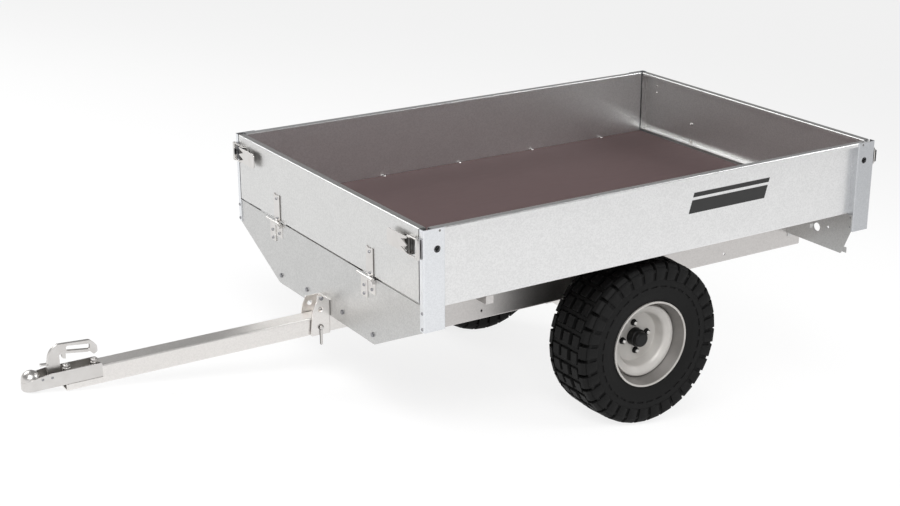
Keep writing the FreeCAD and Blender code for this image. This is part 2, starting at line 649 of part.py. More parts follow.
def hinge_straps(end):
    """Straps on the gate: plate, bent foot and knuckle with the pin in it."""
    face = end_x(end)
    x = hinge_x(end)
    straps = []
    for side in (LEFT, RIGHT):
        y = side * HINGE_Y
        x0, x1 = sorted((face, face + end * STRAP_SHEET))
        plate = prism("YZ", [(y - STRAP_WIDTH / 2, HINGE_Z + KNUCKLE_RADIUS + 2),
                             (y + STRAP_WIDTH / 2, HINGE_Z + KNUCKLE_RADIUS + 2),
                             (y + STRAP_WIDTH / 2, STRAP_TOP, 5.0),
                             (y - STRAP_WIDTH / 2, STRAP_TOP, 5.0)], x0, x1)
        foot_x = sorted((face + end * HINGE_WEB / 2, x + end * HINGE_WEB))
        foot = block(foot_x[0], foot_x[1], y + KNUCKLE_START, y + KNUCKLE_END, HINGE_Z + 2,
                     HINGE_Z + KNUCKLE_RADIUS + 6)
        knuckle = rod_y(x, HINGE_Z, y + KNUCKLE_START, y + KNUCKLE_END, KNUCKLE_RADIUS)
        pin = rod_y(x, HINGE_Z, y - PIN_TAIL, y + PIN_HEAD, HINGE_PIN / 2)
        straps.append(fused([plate, foot, knuckle, pin]))
    return together(straps)


def hinge_leaves(end):
    """Stepped leaves on the fixed panel, each with a knuckle beside the strap's."""
    face = end_x(end) - end * POST_SHEET
    x = hinge_x(end)
    top = HINGE_Z - KNUCKLE_RADIUS - 3
    leaves = []
    for side in (LEFT, RIGHT):
        y = side * HINGE_Y
        x0, x1 = sorted((face, face + end * STRAP_SHEET))
        far = y - LEAF_LONG_END
        step = y - LEAF_STEP_FROM_MIDDLE
        near = y + LEAF_SHORT_END
        plate = prism("YZ", [(far, LEAF_BOTTOM, 4.0), (step, LEAF_BOTTOM, 2.0), (step, top),
                             (far, top, 4.0)], x0, x1)
        thin_x = sorted((face, face + end * LEAF_THIN))
        thin = prism("YZ", [(step, LEAF_STEP), (near, LEAF_STEP, 4.0), (near, top), (step, top)], *thin_x)
        y0, y1 = y + KNUCKLE_END + PIN_GAP, near
        eye = rod_y(x, HINGE_Z, y0, y1, KNUCKLE_RADIUS)
        web_x = sorted((face + end * HINGE_WEB / 2, x + end * HINGE_WEB))
        web = block(web_x[0], web_x[1], y0, y1, top - 5, HINGE_Z - 2)
        bore = rod_y(x, HINGE_Z, y0 - 1, y1 + 1, HINGE_PIN / 2 + RUNNING_FIT)
        leaves.append(fused([plate, thin, eye, web]).cut(bore))
    return together(leaves)


def latches(end):
    """Draw latches on the gate's corners: base, cheeks, rounded lever, pin and loop."""
    face = end_x(end)
    half = LATCH_HEIGHT / 2
    low, high = LATCH_Z - half, LATCH_Z + half
    back = LEVER_STANDOFF
    base_end = GATE_HALF - LATCH_END_FROM_EDGE
    lever_end = GATE_HALF - LEVER_FROM_EDGE
    pin_y = GATE_HALF - LATCH_PIN_FROM_EDGE

    def sheet(plane, outline, w0, w1):
        """Part of the left latch; depths count outwards from the gate's face."""
        if plane == "XY":
            return prism("XY", [(face + end * p[0], p[1]) + tuple(p[2:]) for p in outline], w0, w1)
        return prism("YZ", outline, face + end * w0, face + end * w1)

    base = sheet("YZ", [(LATCH_INNER, low + 4, 3.0), (base_end, low + 4, 3.0),
                        (base_end, high - 4, 3.0), (LATCH_INNER, high - 4, 3.0)], 0, LATCH_SHEET)
    cheek = [(LATCH_SHEET - 1, lever_end - 22), (LATCH_SHEET - 1, base_end - 2),
             (LOOP_DEPTH + 4, base_end - 6, 4.0), (back + 1, lever_end - 2), (back + 1, lever_end - 10)]
    cheeks = [sheet("XY", cheek, z, z + LATCH_SHEET) for z in (low + 4, high - 4 - LATCH_SHEET)]
    lever_low, lever_high = LATCH_Z - LEVER_HALF, LATCH_Z + LEVER_HALF
    lever = sheet("YZ", [(lever_end - LEVER_LENGTH, lever_low, LEVER_CORNER), (lever_end, lever_low, 4.0),
                         (lever_end, lever_high, 4.0),
                         (lever_end - LEVER_LENGTH, lever_high, LEVER_CORNER)],
                  back, back + LATCH_SHEET)
    x_loop = face + end * LOOP_DEPTH
    pin = rod(Vector(x_loop, pin_y, low + 5), Vector(x_loop, pin_y, high - 5), LOOP_BAR / 2 + 0.5)
    reach = LOOP_REACH + LOOP_BAR / 2
    loop_path = [(pin_y, LATCH_Z - LOOP_HALF), (reach, LATCH_Z - LOOP_HALF),
                 (reach, LATCH_Z + LOOP_HALF), (pin_y, LATCH_Z + LOOP_HALF)]
    x0, x1 = sorted((x_loop - LOOP_BAR / 2, x_loop + LOOP_BAR / 2))
    loop = folded("YZ", loop_path, x0, x1, LOOP_BAR, 3.0)
    latch = fused([base] + cheeks + [lever, pin, loop])
    return together([latch, mirrored(latch)])


def latch_catches(end):
    """Catch plates on the posts' end flanges, each with a lug inside the latch's loop."""
    face = end_x(end)
    out = []
    for side in (LEFT, RIGHT):
        def slab(depth, y0, y1, half):
            x0, x1 = sorted((face, face + end * depth))
            return block(x0, x1, y0, y1, LATCH_Z - half, LATCH_Z + half)

        inner = HALF_WIDTH - POST_FLANGE + PIN_GAP
        plate = slab(LATCH_SHEET, inner, HALF_WIDTH - POST_SHEET - PIN_GAP, CATCH_HEIGHT / 2)
        lug = slab(LOOP_DEPTH + LOOP_BAR, inner, inner + LATCH_SHEET, LOOP_HALF - LOOP_BAR - MOVING_GAP)
        out.append(on_side(fused([plate, lug]), side))
    return together(out)


# ---------------------------------------------------------------- chassis
def square_tube(size, wall, corner, x0, x1, centre_z):
    """Square tube along the trailer."""
    half = size / 2
    inside = half - wall
    outer = [(-half, centre_z - half, corner), (half, centre_z - half, corner),
             (half, centre_z + half, corner), (-half, centre_z + half, corner)]
    inner = [(-inside, centre_z - inside, corner / 3), (inside, centre_z - inside, corner / 3),
             (inside, centre_z + inside, corner / 3), (-inside, centre_z + inside, corner / 3)]
    return prism("YZ", outer, x0, x1).cut(prism("YZ", inner, x0 - 1, x1 + 1))


def drawbar():
    """Square drawbar with its notched nose and the tipping pivot's sleeve."""
    tube = square_tube(DRAWBAR_SIZE, DRAWBAR_WALL, DRAWBAR_CORNER, DRAWBAR_REAR, DRAWBAR_FRONT,
                       DRAWBAR_CENTRE)
    notch = block(DRAWBAR_NOTCH, DRAWBAR_FRONT + 1, -DRAWBAR_SIZE, DRAWBAR_SIZE,
                  COUPLING_BOTTOM, DRAWBAR_TOP + 1)
    half = PIVOT_SLEEVE_LENGTH / 2
    sleeve = rod_y(PIVOT_X, DRAWBAR_CENTRE, -half, half, PIVOT_SLEEVE / 2)
    bore = rod_y(PIVOT_X, DRAWBAR_CENTRE, -half - 1, half + 1, PIVOT_BOLT / 2 + RUNNING_FIT)
    lock = rod_y(LOCK_PIN_X, LOCK_PIN_Z, -DRAWBAR_SIZE, DRAWBAR_SIZE, LOCK_HOLE / 2)
    bolts = [rod(Vector(x, 0, DRAWBAR_BOTTOM - 1), Vector(x, 0, COUPLING_BOTTOM), COUPLING_BOLT / 2)
             for x in COUPLING_BOLTS]
    return fused([tube.cut(notch), sleeve]).cut(bore).cut(lock).cut(fused(bolts))


def axle_tube():
    """Square axle tube."""
    half = AXLE_TUBE / 2
    inside = half - AXLE_WALL
    tube = block(-half, half, -AXLE_HALF, AXLE_HALF, AXLE_HEIGHT - half, AXLE_HEIGHT + half)
    bore = block(-inside, inside, -AXLE_HALF - 1, AXLE_HALF + 1, AXLE_HEIGHT - inside,
                 AXLE_HEIGHT + inside)
    return tube.cut(bore)


def stub_axles():
    """Turned stub axles: square root in the tube, collar and spindle."""
    inside = AXLE_TUBE / 2 - AXLE_WALL
    root = block(-inside, inside, AXLE_HALF - STUB_ROOT, AXLE_HALF,
                 AXLE_HEIGHT - inside, AXLE_HEIGHT + inside)
    collar = rod_y(0, AXLE_HEIGHT, AXLE_HALF, AXLE_HALF + STUB_COLLAR, AXLE_TUBE / 2 + 2)
    spindle_end = WHEEL_CENTRE + HUB_CAP_END - HUB_CAP_WALL - 2 * PIN_GAP
    spindle = rod_y(0, AXLE_HEIGHT, AXLE_HALF, spindle_end, SPINDLE / 2)
    stub = fused([root, collar, spindle])
    return together([stub, mirrored(stub)])


def axle_saddle():
    """Cheek plates and spacer that hold the axle under the drawbar."""
    half = SADDLE_LENGTH / 2
    low = AXLE_HEIGHT - AXLE_TUBE / 2 - SADDLE_THICKNESS
    high = DRAWBAR_CENTRE + SADDLE_ABOVE_CENTRE
    foot = half * SADDLE_FOOT
    outline = [
        (-foot, low, 8.0), (foot, low, 8.0), (half, DRAWBAR_BOTTOM - 4, 12.0),
        (half, high, 8.0), (-half, high, 8.0), (-half, DRAWBAR_BOTTOM - 4, 12.0),
    ]
    cheek = prism("XZ", outline, DRAWBAR_HALF, DRAWBAR_HALF + SADDLE_THICKNESS)
    size = AXLE_TUBE / 2
    spacer = block(-size, size, -DRAWBAR_HALF, DRAWBAR_HALF, AXLE_HEIGHT + size, DRAWBAR_BOTTOM)
    slot = block(-size, size, -DRAWBAR_SIZE, DRAWBAR_SIZE, AXLE_HEIGHT - size, AXLE_HEIGHT + size)
    return fused([cheek, mirrored(cheek), spacer]).cut(slot)


# ---------------------------------------------------------------- coupling
def coupling_body():
    """Pressed channel with a round nose and the ball's cup."""
    half = DRAWBAR_HALF
    nose = half * 0.98
    front = BALL_X + half
    outer = [(DRAWBAR_NOTCH, -half), (front, -half, nose), (front, half, nose), (DRAWBAR_NOTCH, half)]
    wall = COUPLING_WALL
    inner = [(DRAWBAR_NOTCH - 1, -half + wall), (front - wall, -half + wall, nose - wall),
             (front - wall, half - wall, nose - wall), (DRAWBAR_NOTCH - 1, half - wall)]
    shell = prism("XY", outer, COUPLING_BOTTOM, COUPLING_TOP)
    shell = shell.cut(prism("XY", inner, COUPLING_BOTTOM + wall, COUPLING_TOP + 1))
    drop = [(BALL_X - NOSE_SLOPE_BEHIND_BALL, COUPLING_TOP), (BALL_X + 8, NOSE_TOP + 11),
            (front + 1, NOSE_TOP), (front + 1, COUPLING_TOP + 1),
            (BALL_X - NOSE_SLOPE_BEHIND_BALL, COUPLING_TOP + 1)]
    shell = shell.cut(prism("XZ", drop, -half - 1, half + 1))
    cup = BALL_RADIUS + CUP_CLEARANCE
    body = fused([shell, cup_shape(cup + wall)]).cut(cup_shape(cup, 1.0))
    holes = [rod(Vector(x, 0, COUPLING_BOTTOM - 1), Vector(x, 0, COUPLING_BOTTOM + wall + 1),
                 COUPLING_BOLT / 2) for x in COUPLING_BOLTS]
    return body.cut(fused(holes))


def cup_shape(radius, below=0.0):
    """Upright cup round the ball: a straight skirt under a crown turned in short steps."""
    bottom = COUPLING_BOTTOM - below
    profile = [Vector(BALL_X, 0, bottom), Vector(BALL_X + radius, 0, bottom)]
    for degrees in (0, 36, 66):
        angle = math.radians(degrees)
        profile.append(Vector(BALL_X + radius * math.cos(angle), 0, BALL_Z + radius * math.sin(angle)))
    profile.append(Vector(BALL_X, 0, profile[-1].z))
    face = Part.Face(Part.makePolygon(profile + profile[:1]))
    return face.revolve(Vector(BALL_X, 0, 0), Vector(0, 0, 1), 360)


def coupling_bolts():
    """Two bolts that hold the coupling down on the drawbar."""
    bolts = []
    for x in COUPLING_BOLTS:
        seat = COUPLING_BOTTOM + COUPLING_WALL
        shank = rod(Vector(x, 0, DRAWBAR_BOTTOM), Vector(x, 0, seat), COUPLING_BOLT / 2)
        nut_seat = COUPLING_TOP - COUPLING_NUT_LOW
        sleeve = rod(Vector(x, 0, seat), Vector(x, 0, nut_seat), COUPLING_SLEEVE / 2)
        nut = hexagon(Vector(x, 0, nut_seat), (0, 0, 1), COUPLING_BOLT * HEAD_FLATS,
                      COUPLING_BOLT * NUT_DEPTH)
        bolts.append(fused([shank, sleeve, nut]))
    return together(bolts)


def coupling_handle():
    """Lever of the coupling: two hooked cheeks joined by a back strip, and its indicator tab."""
    half = HANDLE_HALF
    foot = COUPLING_BOTTOM + COUPLING_WALL - BALL_Z
    outline = [
        (-90, foot), (-54, foot), (-51, 58, 20.0), (-57, 80, 18.0), (-81, 93, 14.0), (-186, 86, 14.0),
        (-206, 64, 12.0), (-206, 43, 4.0), (-193, 38, 4.0), (-184, 52, 6.0), (-174, 54, 4.0),
        (-109, 62), (-109, 42), (-99, 46), (-96, 64), (-90, 59),
    ]
    wall = HANDLE_SHEET
    inner = [
        (-96, foot - 5), (-54 - wall, foot - 5), (-51 - wall, 58, 17.0), (-57 - wall, 79, 15.0),
        (-82, 93 - wall, 11.0), (-184, 86 - wall, 11.0), (-206 + wall, 63, 9.0), (-215, 25), (-154, 25),
    ]
    slot = [(-180, 60, 5.0), (-113, 70, 5.0), (-113, 81, 5.0), (-180, 71, 5.0)]
    whole = prism("XZ", offset(outline, BALL_X, BALL_Z), -half, half)
    core = prism("XZ", offset(inner, BALL_X, BALL_Z), -half + wall, half - wall)
    window = prism("XZ", offset(slot, BALL_X, BALL_Z), -half - 1, half + 1)
    tab = [(-56, 34), (-30, 36, 2.0), (-30, 41, 2.0), (-54, 39)]
    indicator = prism("XZ", offset(tab, BALL_X, BALL_Z), -half, half)
    return fused([whole.cut(core).cut(window), indicator])


# ---------------------------------------------------------------- wheels
def turned(outline):
    """Ring turned about a wheel's axle from an outline of (axial, radius[, corner])."""
    face = rounded_face("YZ", outline)
    return face.revolve(Vector(0, 0, 0), Vector(0, 1, 0), 360)


def at_wheel(shape, side):
    """Piece made about the wheel's middle, outboard along +Y, put in its place."""
    placed = shape.copy()
    placed.translate(Vector(0, WHEEL_CENTRE, AXLE_HEIGHT))
    return on_side(placed, side)


def tyre(side):
    """Low wide tyre: hollow carcass with a flat crown and chamfered shoulders."""
    half = TYRE_WIDTH / 2
    crown = TYRE_RADIUS
    seat = RIM_SEAT_RADIUS
    wall = TYRE_WALL
    bead = RIM_HALF_WIDTH - RIM_ROLL
    over_lip = RIM_LIP_RADIUS + 4
    right = [
        (half - 28, crown), (half, crown - 38), (half, over_lip), (bead, over_lip), (bead, seat),
        (bead - wall, seat), (bead - wall, over_lip + 8), (half - wall, over_lip + 8),
        (half - wall, crown - 44), (half - 36, crown - wall),
    ]
    left = [(-s, r) for s, r in right]
    return at_wheel(turned(right + left[::-1]), side)


def rim(side):
    """Pressed steel rim: barrel with rolled flanges and a drop centre, and a dished disc."""
    width = RIM_HALF_WIDTH
    seat = RIM_SEAT_RADIUS
    well = seat - RIM_WELL
    lip = RIM_LIP_RADIUS
    flange = width - RIM_ROLL
    path = [
        (width, lip), (flange, lip), (flange, seat), (WELL_START, seat), (WELL_START, well),
        (WELL_END, well), (WELL_END, seat), (-flange, seat), (-flange, lip), (-width, lip),
    ]
    barrel = turned(fold_outline(path, RIM_SHEET, 0.0))
    weld = seat - 2 * RIM_SHEET
    disc_path = [
        (18, weld), (SHOULDER_PLANE - 6, weld), (SHOULDER_PLANE, weld - 8), (SHOULDER_PLANE, 98),
        (DISC_PLANE, 90), (DISC_PLANE, HUB_BARREL / 2 + 1),
    ]
    disc = turned(fold_outline(disc_path, RIM_SHEET, 0.0))
    holes = [rod(foot - Vector(0, 1, 0), foot + Vector(0, RIM_SHEET + 1, 0), STUD / 2 + 1)
             for foot in stud_feet()]
    return at_wheel(fused([barrel, disc]).cut(fused(holes)), side)


def stud_feet():
    """Where each wheel stud leaves the hub's flange, from the wheel's middle."""
    feet = []
    for i in range(STUD_COUNT):
        angle = math.radians(STUD_TURN) + 2 * math.pi * i / STUD_COUNT
        feet.append(Vector(STUD_CIRCLE / 2 * math.cos(angle), DISC_PLANE, STUD_CIRCLE / 2 * math.sin(angle)))
    return feet


def hub(side):
    """Cast hub: barrel, flange behind the disc, grease cap, and the studs with their nuts."""
    cap_start = HUB_CAP_END - HUB_CAP_LENGTH
    barrel_end = DISC_PLANE - HUB_BEHIND_DISC
    barrel = rod_y(0, 0, barrel_end, cap_start, HUB_BARREL / 2)
    cap = rod_y(0, 0, cap_start, HUB_CAP_END, HUB_CAP / 2)
    flange = rod_y(0, 0, DISC_PLANE - 9, DISC_PLANE, STUD_CIRCLE / 2 + 13)
    bore = rod_y(0, 0, barrel_end - 1, HUB_CAP_END - HUB_CAP_WALL, SPINDLE / 2 + RUNNING_FIT)
    studs = []
    for foot in stud_feet():
        studs.append(rod(foot, foot + Vector(0, RIM_SHEET + 1, 0), STUD / 2))
        studs.append(hexagon(foot + Vector(0, RIM_SHEET, 0), (0, 1, 0), WHEEL_NUT_FLATS, WHEEL_NUT_HEIGHT))
    return at_wheel(fused([barrel, cap, flange] + studs).cut(bore), side)


# ---------------------------------------------------------------- assembly
def level_nodes():
    """Every piece of the level trailer, by node name."""
    return {
        "drawbar": drawbar(),
        "axle_tube": axle_tube(),
        "axle_saddle": axle_saddle(),
        "stub_axles": stub_axles(),
        "coupling_body": coupling_body(),
        "coupling_handle": coupling_handle(),
        "coupling_bolts": coupling_bolts(),
        "floor_board": floor_board(),
        "side_panel_left": side_panel(LEFT),
        "side_panel_right": side_panel(RIGHT),
        "corner_post_front_left": corner_post(FRONT, LEFT),
        "corner_post_front_right": corner_post(FRONT, RIGHT),
        "corner_post_rear_left": corner_post(REAR, LEFT),
        "corner_post_rear_right": corner_post(REAR, RIGHT),
        "front_panel": front_panel(),
        "rear_panel": rear_panel(),
        "rear_gusset_left": rear_gusset(LEFT),
        "rear_gusset_right": rear_gusset(RIGHT),
        "beam_left": beam(LEFT),
        "beam_right": beam(RIGHT),
        "crossbars": crossbars(),
        "outriggers": outriggers(),
        "pivot_crossbar": pivot_crossbar(),
        "pivot_lugs": pivot_lugs(),
        "pivot_bolt": pivot_bolt(),
        "lock_bracket": lock_bracket(),
        "lock_pin": lock_pin(),
        "front_hinge_leaves": hinge_leaves(FRONT),
        "rear_hinge_leaves": hinge_leaves(REAR),
        "front_latch_catches": latch_catches(FRONT),
        "rear_latch_catches": latch_catches(REAR),
        "front_gate": gate(FRONT),
        "front_gate_straps": hinge_straps(FRONT),
        "front_gate_latches": latches(FRONT),
        "tailgate": gate(REAR),
        "tailgate_straps": hinge_straps(REAR),
        "tailgate_latches": latches(REAR),
        "tyre_left": tyre(LEFT),
        "rim_left": rim(LEFT),
        "hub_left": hub(LEFT),
        "tyre_right": tyre(RIGHT),
        "rim_right": rim(RIGHT),
        "hub_right": hub(RIGHT),
    }


def parking_angle():
    """Nose-down pitch at which the coupling or the drawbar's end first meets the ground, in degrees."""
    pitches = []
    for ahead, height in ((BALL_X + DRAWBAR_HALF, COUPLING_BOTTOM), (DRAWBAR_FRONT, DRAWBAR_BOTTOM)):
        above = height - AXLE_HEIGHT
        reach = math.hypot(ahead, above)
        pitches.append(math.degrees(math.asin(AXLE_HEIGHT / reach) + math.atan2(above, ahead)))
    return min(pitches)


def parked(shape, shift_x=0.0):
    """The piece on the parked trailer: pitched about the axle, then slid along the ground."""
    moved = shape.copy()
    moved.rotate(Vector(0, 0, AXLE_HEIGHT), Vector(0, 1, 0), parking_angle())
    moved.translate(Vector(shift_x, 0, 0))
    return moved


def parked_nodes():
    """Every piece as parked, with the origin on the ground under the middle of its length."""
    pitched = {name: parked(shape) for name, shape in level_nodes().items()}
    low = min(shape.optimalBoundingBox(True, False).XMin for shape in pitched.values())
    high = max(shape.optimalBoundingBox(True, False).XMax for shape in pitched.values())
    shift_x = -(low + high) / 2
    for shape in pitched.values():
        shape.translate(Vector(shift_x, 0, 0))
    return pitched, shift_x


def main():
    """Write one STEP file for each piece."""
    os.makedirs("parts", exist_ok=True)
    nodes, shift_x = parked_nodes()
    for name, shape in nodes.items():
        shape.exportStep(os.path.join("parts", name + ".step"))
    print(len(nodes), "pieces, parked at", round(parking_angle(), 3), "degrees, moved", round(shift_x, 3))


if __name__ == "__main__":
    main()
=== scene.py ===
"""Looks of a tipping utility trailer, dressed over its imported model.

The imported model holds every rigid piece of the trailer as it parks, nose-down on its coupling. This
script gives those pieces their finishes and adds what a plain solid leaves out: the tyre's tread, the
spun rims, rivets and bolts, the latches' pressed parts and the stripe films. Pieces are shaped on a
level trailer (X forward from the axle, Y left, Z up from the ground) and then pitched as it parks.
"""

import json
import logging
import math
from collections.abc import Callable, Sequence
from dataclasses import dataclass, field
from enum import Enum

import bmesh
import bpy
from mathutils import Matrix, Vector


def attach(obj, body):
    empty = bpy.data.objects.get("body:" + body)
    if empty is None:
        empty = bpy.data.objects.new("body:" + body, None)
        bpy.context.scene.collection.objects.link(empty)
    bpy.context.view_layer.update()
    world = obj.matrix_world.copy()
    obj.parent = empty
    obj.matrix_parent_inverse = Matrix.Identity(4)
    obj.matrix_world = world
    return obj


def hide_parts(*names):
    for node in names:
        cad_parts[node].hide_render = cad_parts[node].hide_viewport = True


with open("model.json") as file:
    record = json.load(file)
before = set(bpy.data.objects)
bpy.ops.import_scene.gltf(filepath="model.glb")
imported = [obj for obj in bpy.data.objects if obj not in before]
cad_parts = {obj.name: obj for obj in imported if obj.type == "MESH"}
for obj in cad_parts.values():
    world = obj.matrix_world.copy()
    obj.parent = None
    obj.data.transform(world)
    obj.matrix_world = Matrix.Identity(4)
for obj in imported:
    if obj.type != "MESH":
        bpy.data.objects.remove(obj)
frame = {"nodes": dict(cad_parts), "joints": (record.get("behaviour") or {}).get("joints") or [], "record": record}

LOG = logging.getLogger("trailer")
Mesh = bmesh.types.BMesh
Socket = bpy.types.NodeSocket
Corner = tuple[float, ...]
Outline = Sequence[Corner]


class Place(Enum):
    """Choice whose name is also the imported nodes' word for it."""

    @property
    def word(self) -> str:
        """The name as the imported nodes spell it."""
        return self.name.lower()


class Side(Place):
    """Side of the trailer, as the sign of Y."""

    LEFT = 1
    RIGHT = -1

    @property
    def wheel(self) -> "Body":
        """The wheel on this side."""
        return Body.WHEEL_LEFT if self is Side.LEFT else Body.WHEEL_RIGHT


class End(Place):
    """End of the bed, as the sign of X."""

    FRONT = 1
    REAR = -1

    @property
    def gate(self) -> "Body":
        """The gate that folds at this end."""
        return Body.FRONT_GATE if self is End.FRONT else Body.TAILGATE


class Body(Enum):
    """Rigid bodies that pieces ride on."""

    CHASSIS = "chassis"
    BED = "bed"
    FRONT_GATE = "front_gate"
    TAILGATE = "tailgate"
    WHEEL_LEFT = "wheel_left"
    WHEEL_RIGHT = "wheel_right"


# ---------------------------------------------------------------- place of the parked trailer
def mount(name: str) -> dict:
    """The record's mount of this name."""
    return next(m for m in frame["record"]["mounts"] if m["name"] == name)


@dataclass
class Parking:
    """How the level trailer is pitched and slid to where it parks."""

    axle_height: float = 0.279
    matrix: Matrix = field(init=False)
    level: Matrix = field(init=False)

    def __post_init__(self) -> None:
        """Reads the pitch from the load floor and the slide from the axle."""
        up = mount("load_floor")["axis"]
        pitch = math.atan2(up[0], up[2])
        axle = next(j for j in frame["joints"] if j["name"] == "wheel_left_spin")["pos_m"]
        lift = Matrix.Translation((0, 0, self.axle_height))
        slide = Matrix.Translation((axle[0], 0, 0))
        self.matrix = slide @ lift @ Matrix.Rotation(pitch, 4, "Y") @ lift.inverted()
        self.level = self.matrix.inverted()


PARKING = Parking()


@dataclass
class LevelBox:
    """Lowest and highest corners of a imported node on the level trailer."""

    node: str
    low: Vector = field(init=False)
    high: Vector = field(init=False)

    def __post_init__(self) -> None:
        """Measures the node's mesh."""
        points = [PARKING.level @ v.co for v in frame["nodes"][self.node].data.vertices]
        self.low = Vector([min(p[i] for p in points) for i in range(3)])
        self.high = Vector([max(p[i] for p in points) for i in range(3)])

    @property
    def middle(self) -> Vector:
        """Middle of the box."""
        return (self.low + self.high) / 2

    def end(self, end: End) -> float:
        """The box's face at one end of the trailer."""
        return self.high.x if end is End.FRONT else self.low.x


# ---------------------------------------------------------------- colour and nodes
def linear(hex_colour: str) -> tuple[float, float, float, float]:
    """Turns an sRGB hex colour into linear values.

    Args:
        hex_colour: six hex digits after a hash.

    Returns:
        Red, green, blue and an alpha of 1.
    """
    channels = [int(hex_colour[i:i + 2], 16) / 255 for i in (1, 3, 5)]
    values = [c / 12.92 if c <= 0.04045 else ((c + 0.055) / 1.055) ** 2.4 for c in channels]
    return values[0], values[1], values[2], 1.0


def grey(value: float) -> tuple[float, float, float, float]:
    """A neutral linear colour."""
    return value, value, value, 1.0


def per_metre(millimetres: float) -> float:
    """Texture scale of a pattern whose features are this many millimetres apart."""
    return 1000.0 / millimetres


def add_node(tree: bpy.types.NodeTree, kind: str, fields: dict | None = None,
             inputs: dict | None = None) -> bpy.types.Node:
    """Adds a node, sets its fields and sets or links its inputs.

    Args:
        tree: node tree that gets the node.
        kind: Blender's type name of the node.
        fields: attributes of the node to set.
        inputs: input name or number to a value, or to an output socket to link from.

    Returns:
        The new node.
    """
    node = tree.nodes.new(kind)
    for name, value in (fields or {}).items():
        setattr(node, name, value)
    for name, value in (inputs or {}).items():
        if isinstance(value, Socket):
            tree.links.new(value, node.inputs[name])
        else:
            node.inputs[name].default_value = value
    return node


def set_ramp(ramp: bpy.types.Node, stops: list[tuple[float, tuple]]) -> None:
    """Sets the stops of a colour ramp.

    Args:
        ramp: the ramp's node.
        stops: place from 0 to 1 and linear colour of each stop, lowest first.
    """
    elements = ramp.color_ramp.elements
    while len(elements) < len(stops):
        elements.new(0.5)
    for element, (place, colour) in zip(elements, stops):
        element.position = place
        element.color = colour


def noise(tree: bpy.types.NodeTree, place: Socket, size_mm: float, detail: float) -> Socket:
    """Cloudy noise with features of a size in millimetres."""
    return add_node(tree, "ShaderNodeTexNoise", inputs={
        "Vector": place, "Scale": per_metre(size_mm), "Detail": detail}).outputs["Fac"]


def stretched(tree: bpy.types.NodeTree, place: Socket, along: float) -> Socket:
    """Coordinates that draw a pattern out along X."""
    return add_node(tree, "ShaderNodeMapping", inputs={
        "Vector": place, "Scale": (along, 1.0, 1.0)}).outputs["Vector"]


# ---------------------------------------------------------------- finishes
@dataclass(frozen=True)
class Finish:
    """A surface finish: two close tones, with the roughness and relief of its own pattern.

    Scales are in real millimetres. The trailer is seen from a few metres, so a grain under about 2 mm
    shows as softness of the reflections and not as separate marks.
    """

    name: str
    light: str
    dark: str
    roughness: float = 0.4
    spread: float = 0.1
    metallic: float = 0.0
    ior: float = 1.5
    bump: float = 0.06
    specular: float = 0.5
    relief_mm: float = 0.3
    grain_mm: float = 2.0
    cloud_mm: float = 60.0

    def pattern(self, tree: bpy.types.NodeTree, place: Socket) -> tuple[Socket, Socket, Socket]:
        """Adds the finish's own texture nodes.

        Args:
            tree: node tree of the material.
            place: object coordinates.

        Returns:
            What drives the tone, the roughness and the relief, each from 0 to 1.
        """
        cloud = noise(tree, place, self.cloud_mm, 4.0)
        return cloud, cloud, noise(tree, place, self.grain_mm, 1.0)

    def material(self) -> bpy.types.Material:
        """Builds the node material.

        Returns:
            The new material.
        """
        material = bpy.data.materials.new(self.name)
        material.use_nodes = True
        tree = material.node_tree
        tree.nodes.clear()
        place = add_node(tree, "ShaderNodeTexCoord").outputs["Object"]
        tone, rough, height = self.pattern(tree, place)
        ramp = add_node(tree, "ShaderNodeValToRGB", inputs={"Fac": tone})
        set_ramp(ramp, [(0.25, linear(self.dark)), (0.75, linear(self.light))])
        gloss = add_node(tree, "ShaderNodeMapRange",
                         inputs={"Value": rough, "To Min": self.roughness - self.spread / 2,
                                 "To Max": self.roughness + self.spread / 2})
        relief = add_node(tree, "ShaderNodeBump", inputs={
            "Strength": self.bump, "Distance": self.relief_mm / 1000, "Height": height})
        shader = add_node(tree, "ShaderNodeBsdfPrincipled", inputs={
            "Base Color": ramp.outputs["Color"], "Roughness": gloss.outputs["Result"],
            "Normal": relief.outputs["Normal"], "Metallic": self.metallic, "IOR": self.ior,
            "Specular IOR Level": self.specular})
        add_node(tree, "ShaderNodeOutputMaterial", inputs={"Surface": shader.outputs["BSDF"]})
        return material


@dataclass(frozen=True)
class GalvanisedSteel(Finish):
    """Hot-dip galvanised steel: zinc crystals a few millimetres across, each a slightly different grey.

    The crystals give the eye a fine dry mottle, and the satin zinc blurs reflections over a few
    centimetres.
    """

    roughness: float = 0.36
    metallic: float = 1.0
    relief_mm: float = 0.4
    grain_mm: float = 4.0
    cloud_mm: float = 90.0
    cloudiness: float = 0.35

    def pattern(self, tree: bpy.types.NodeTree, place: Socket) -> tuple[Socket, Socket, Socket]:
        """Crystals for tone, gloss and relief, with a soft cloud of tone over them.

        Args:
            tree: node tree of the material.
            place: object coordinates.

        Returns:
            What drives the tone, the roughness and the relief.
        """
        crystals = add_node(tree, "ShaderNodeTexVoronoi", inputs={
            "Vector": place, "Scale": per_metre(self.grain_mm), "Randomness": 1.0})
        tint = add_node(tree, "ShaderNodeSeparateColor", inputs={"Color": crystals.outputs["Color"]})
        cloud = noise(tree, place, self.cloud_mm, 3.0)
        tone = add_node(tree, "ShaderNodeMix", {"data_type": "FLOAT"},
                        {"Factor": self.cloudiness, "A": tint.outputs["Red"], "B": cloud})
        return tone.outputs["Result"], tint.outputs["Green"], tint.outputs["Blue"]


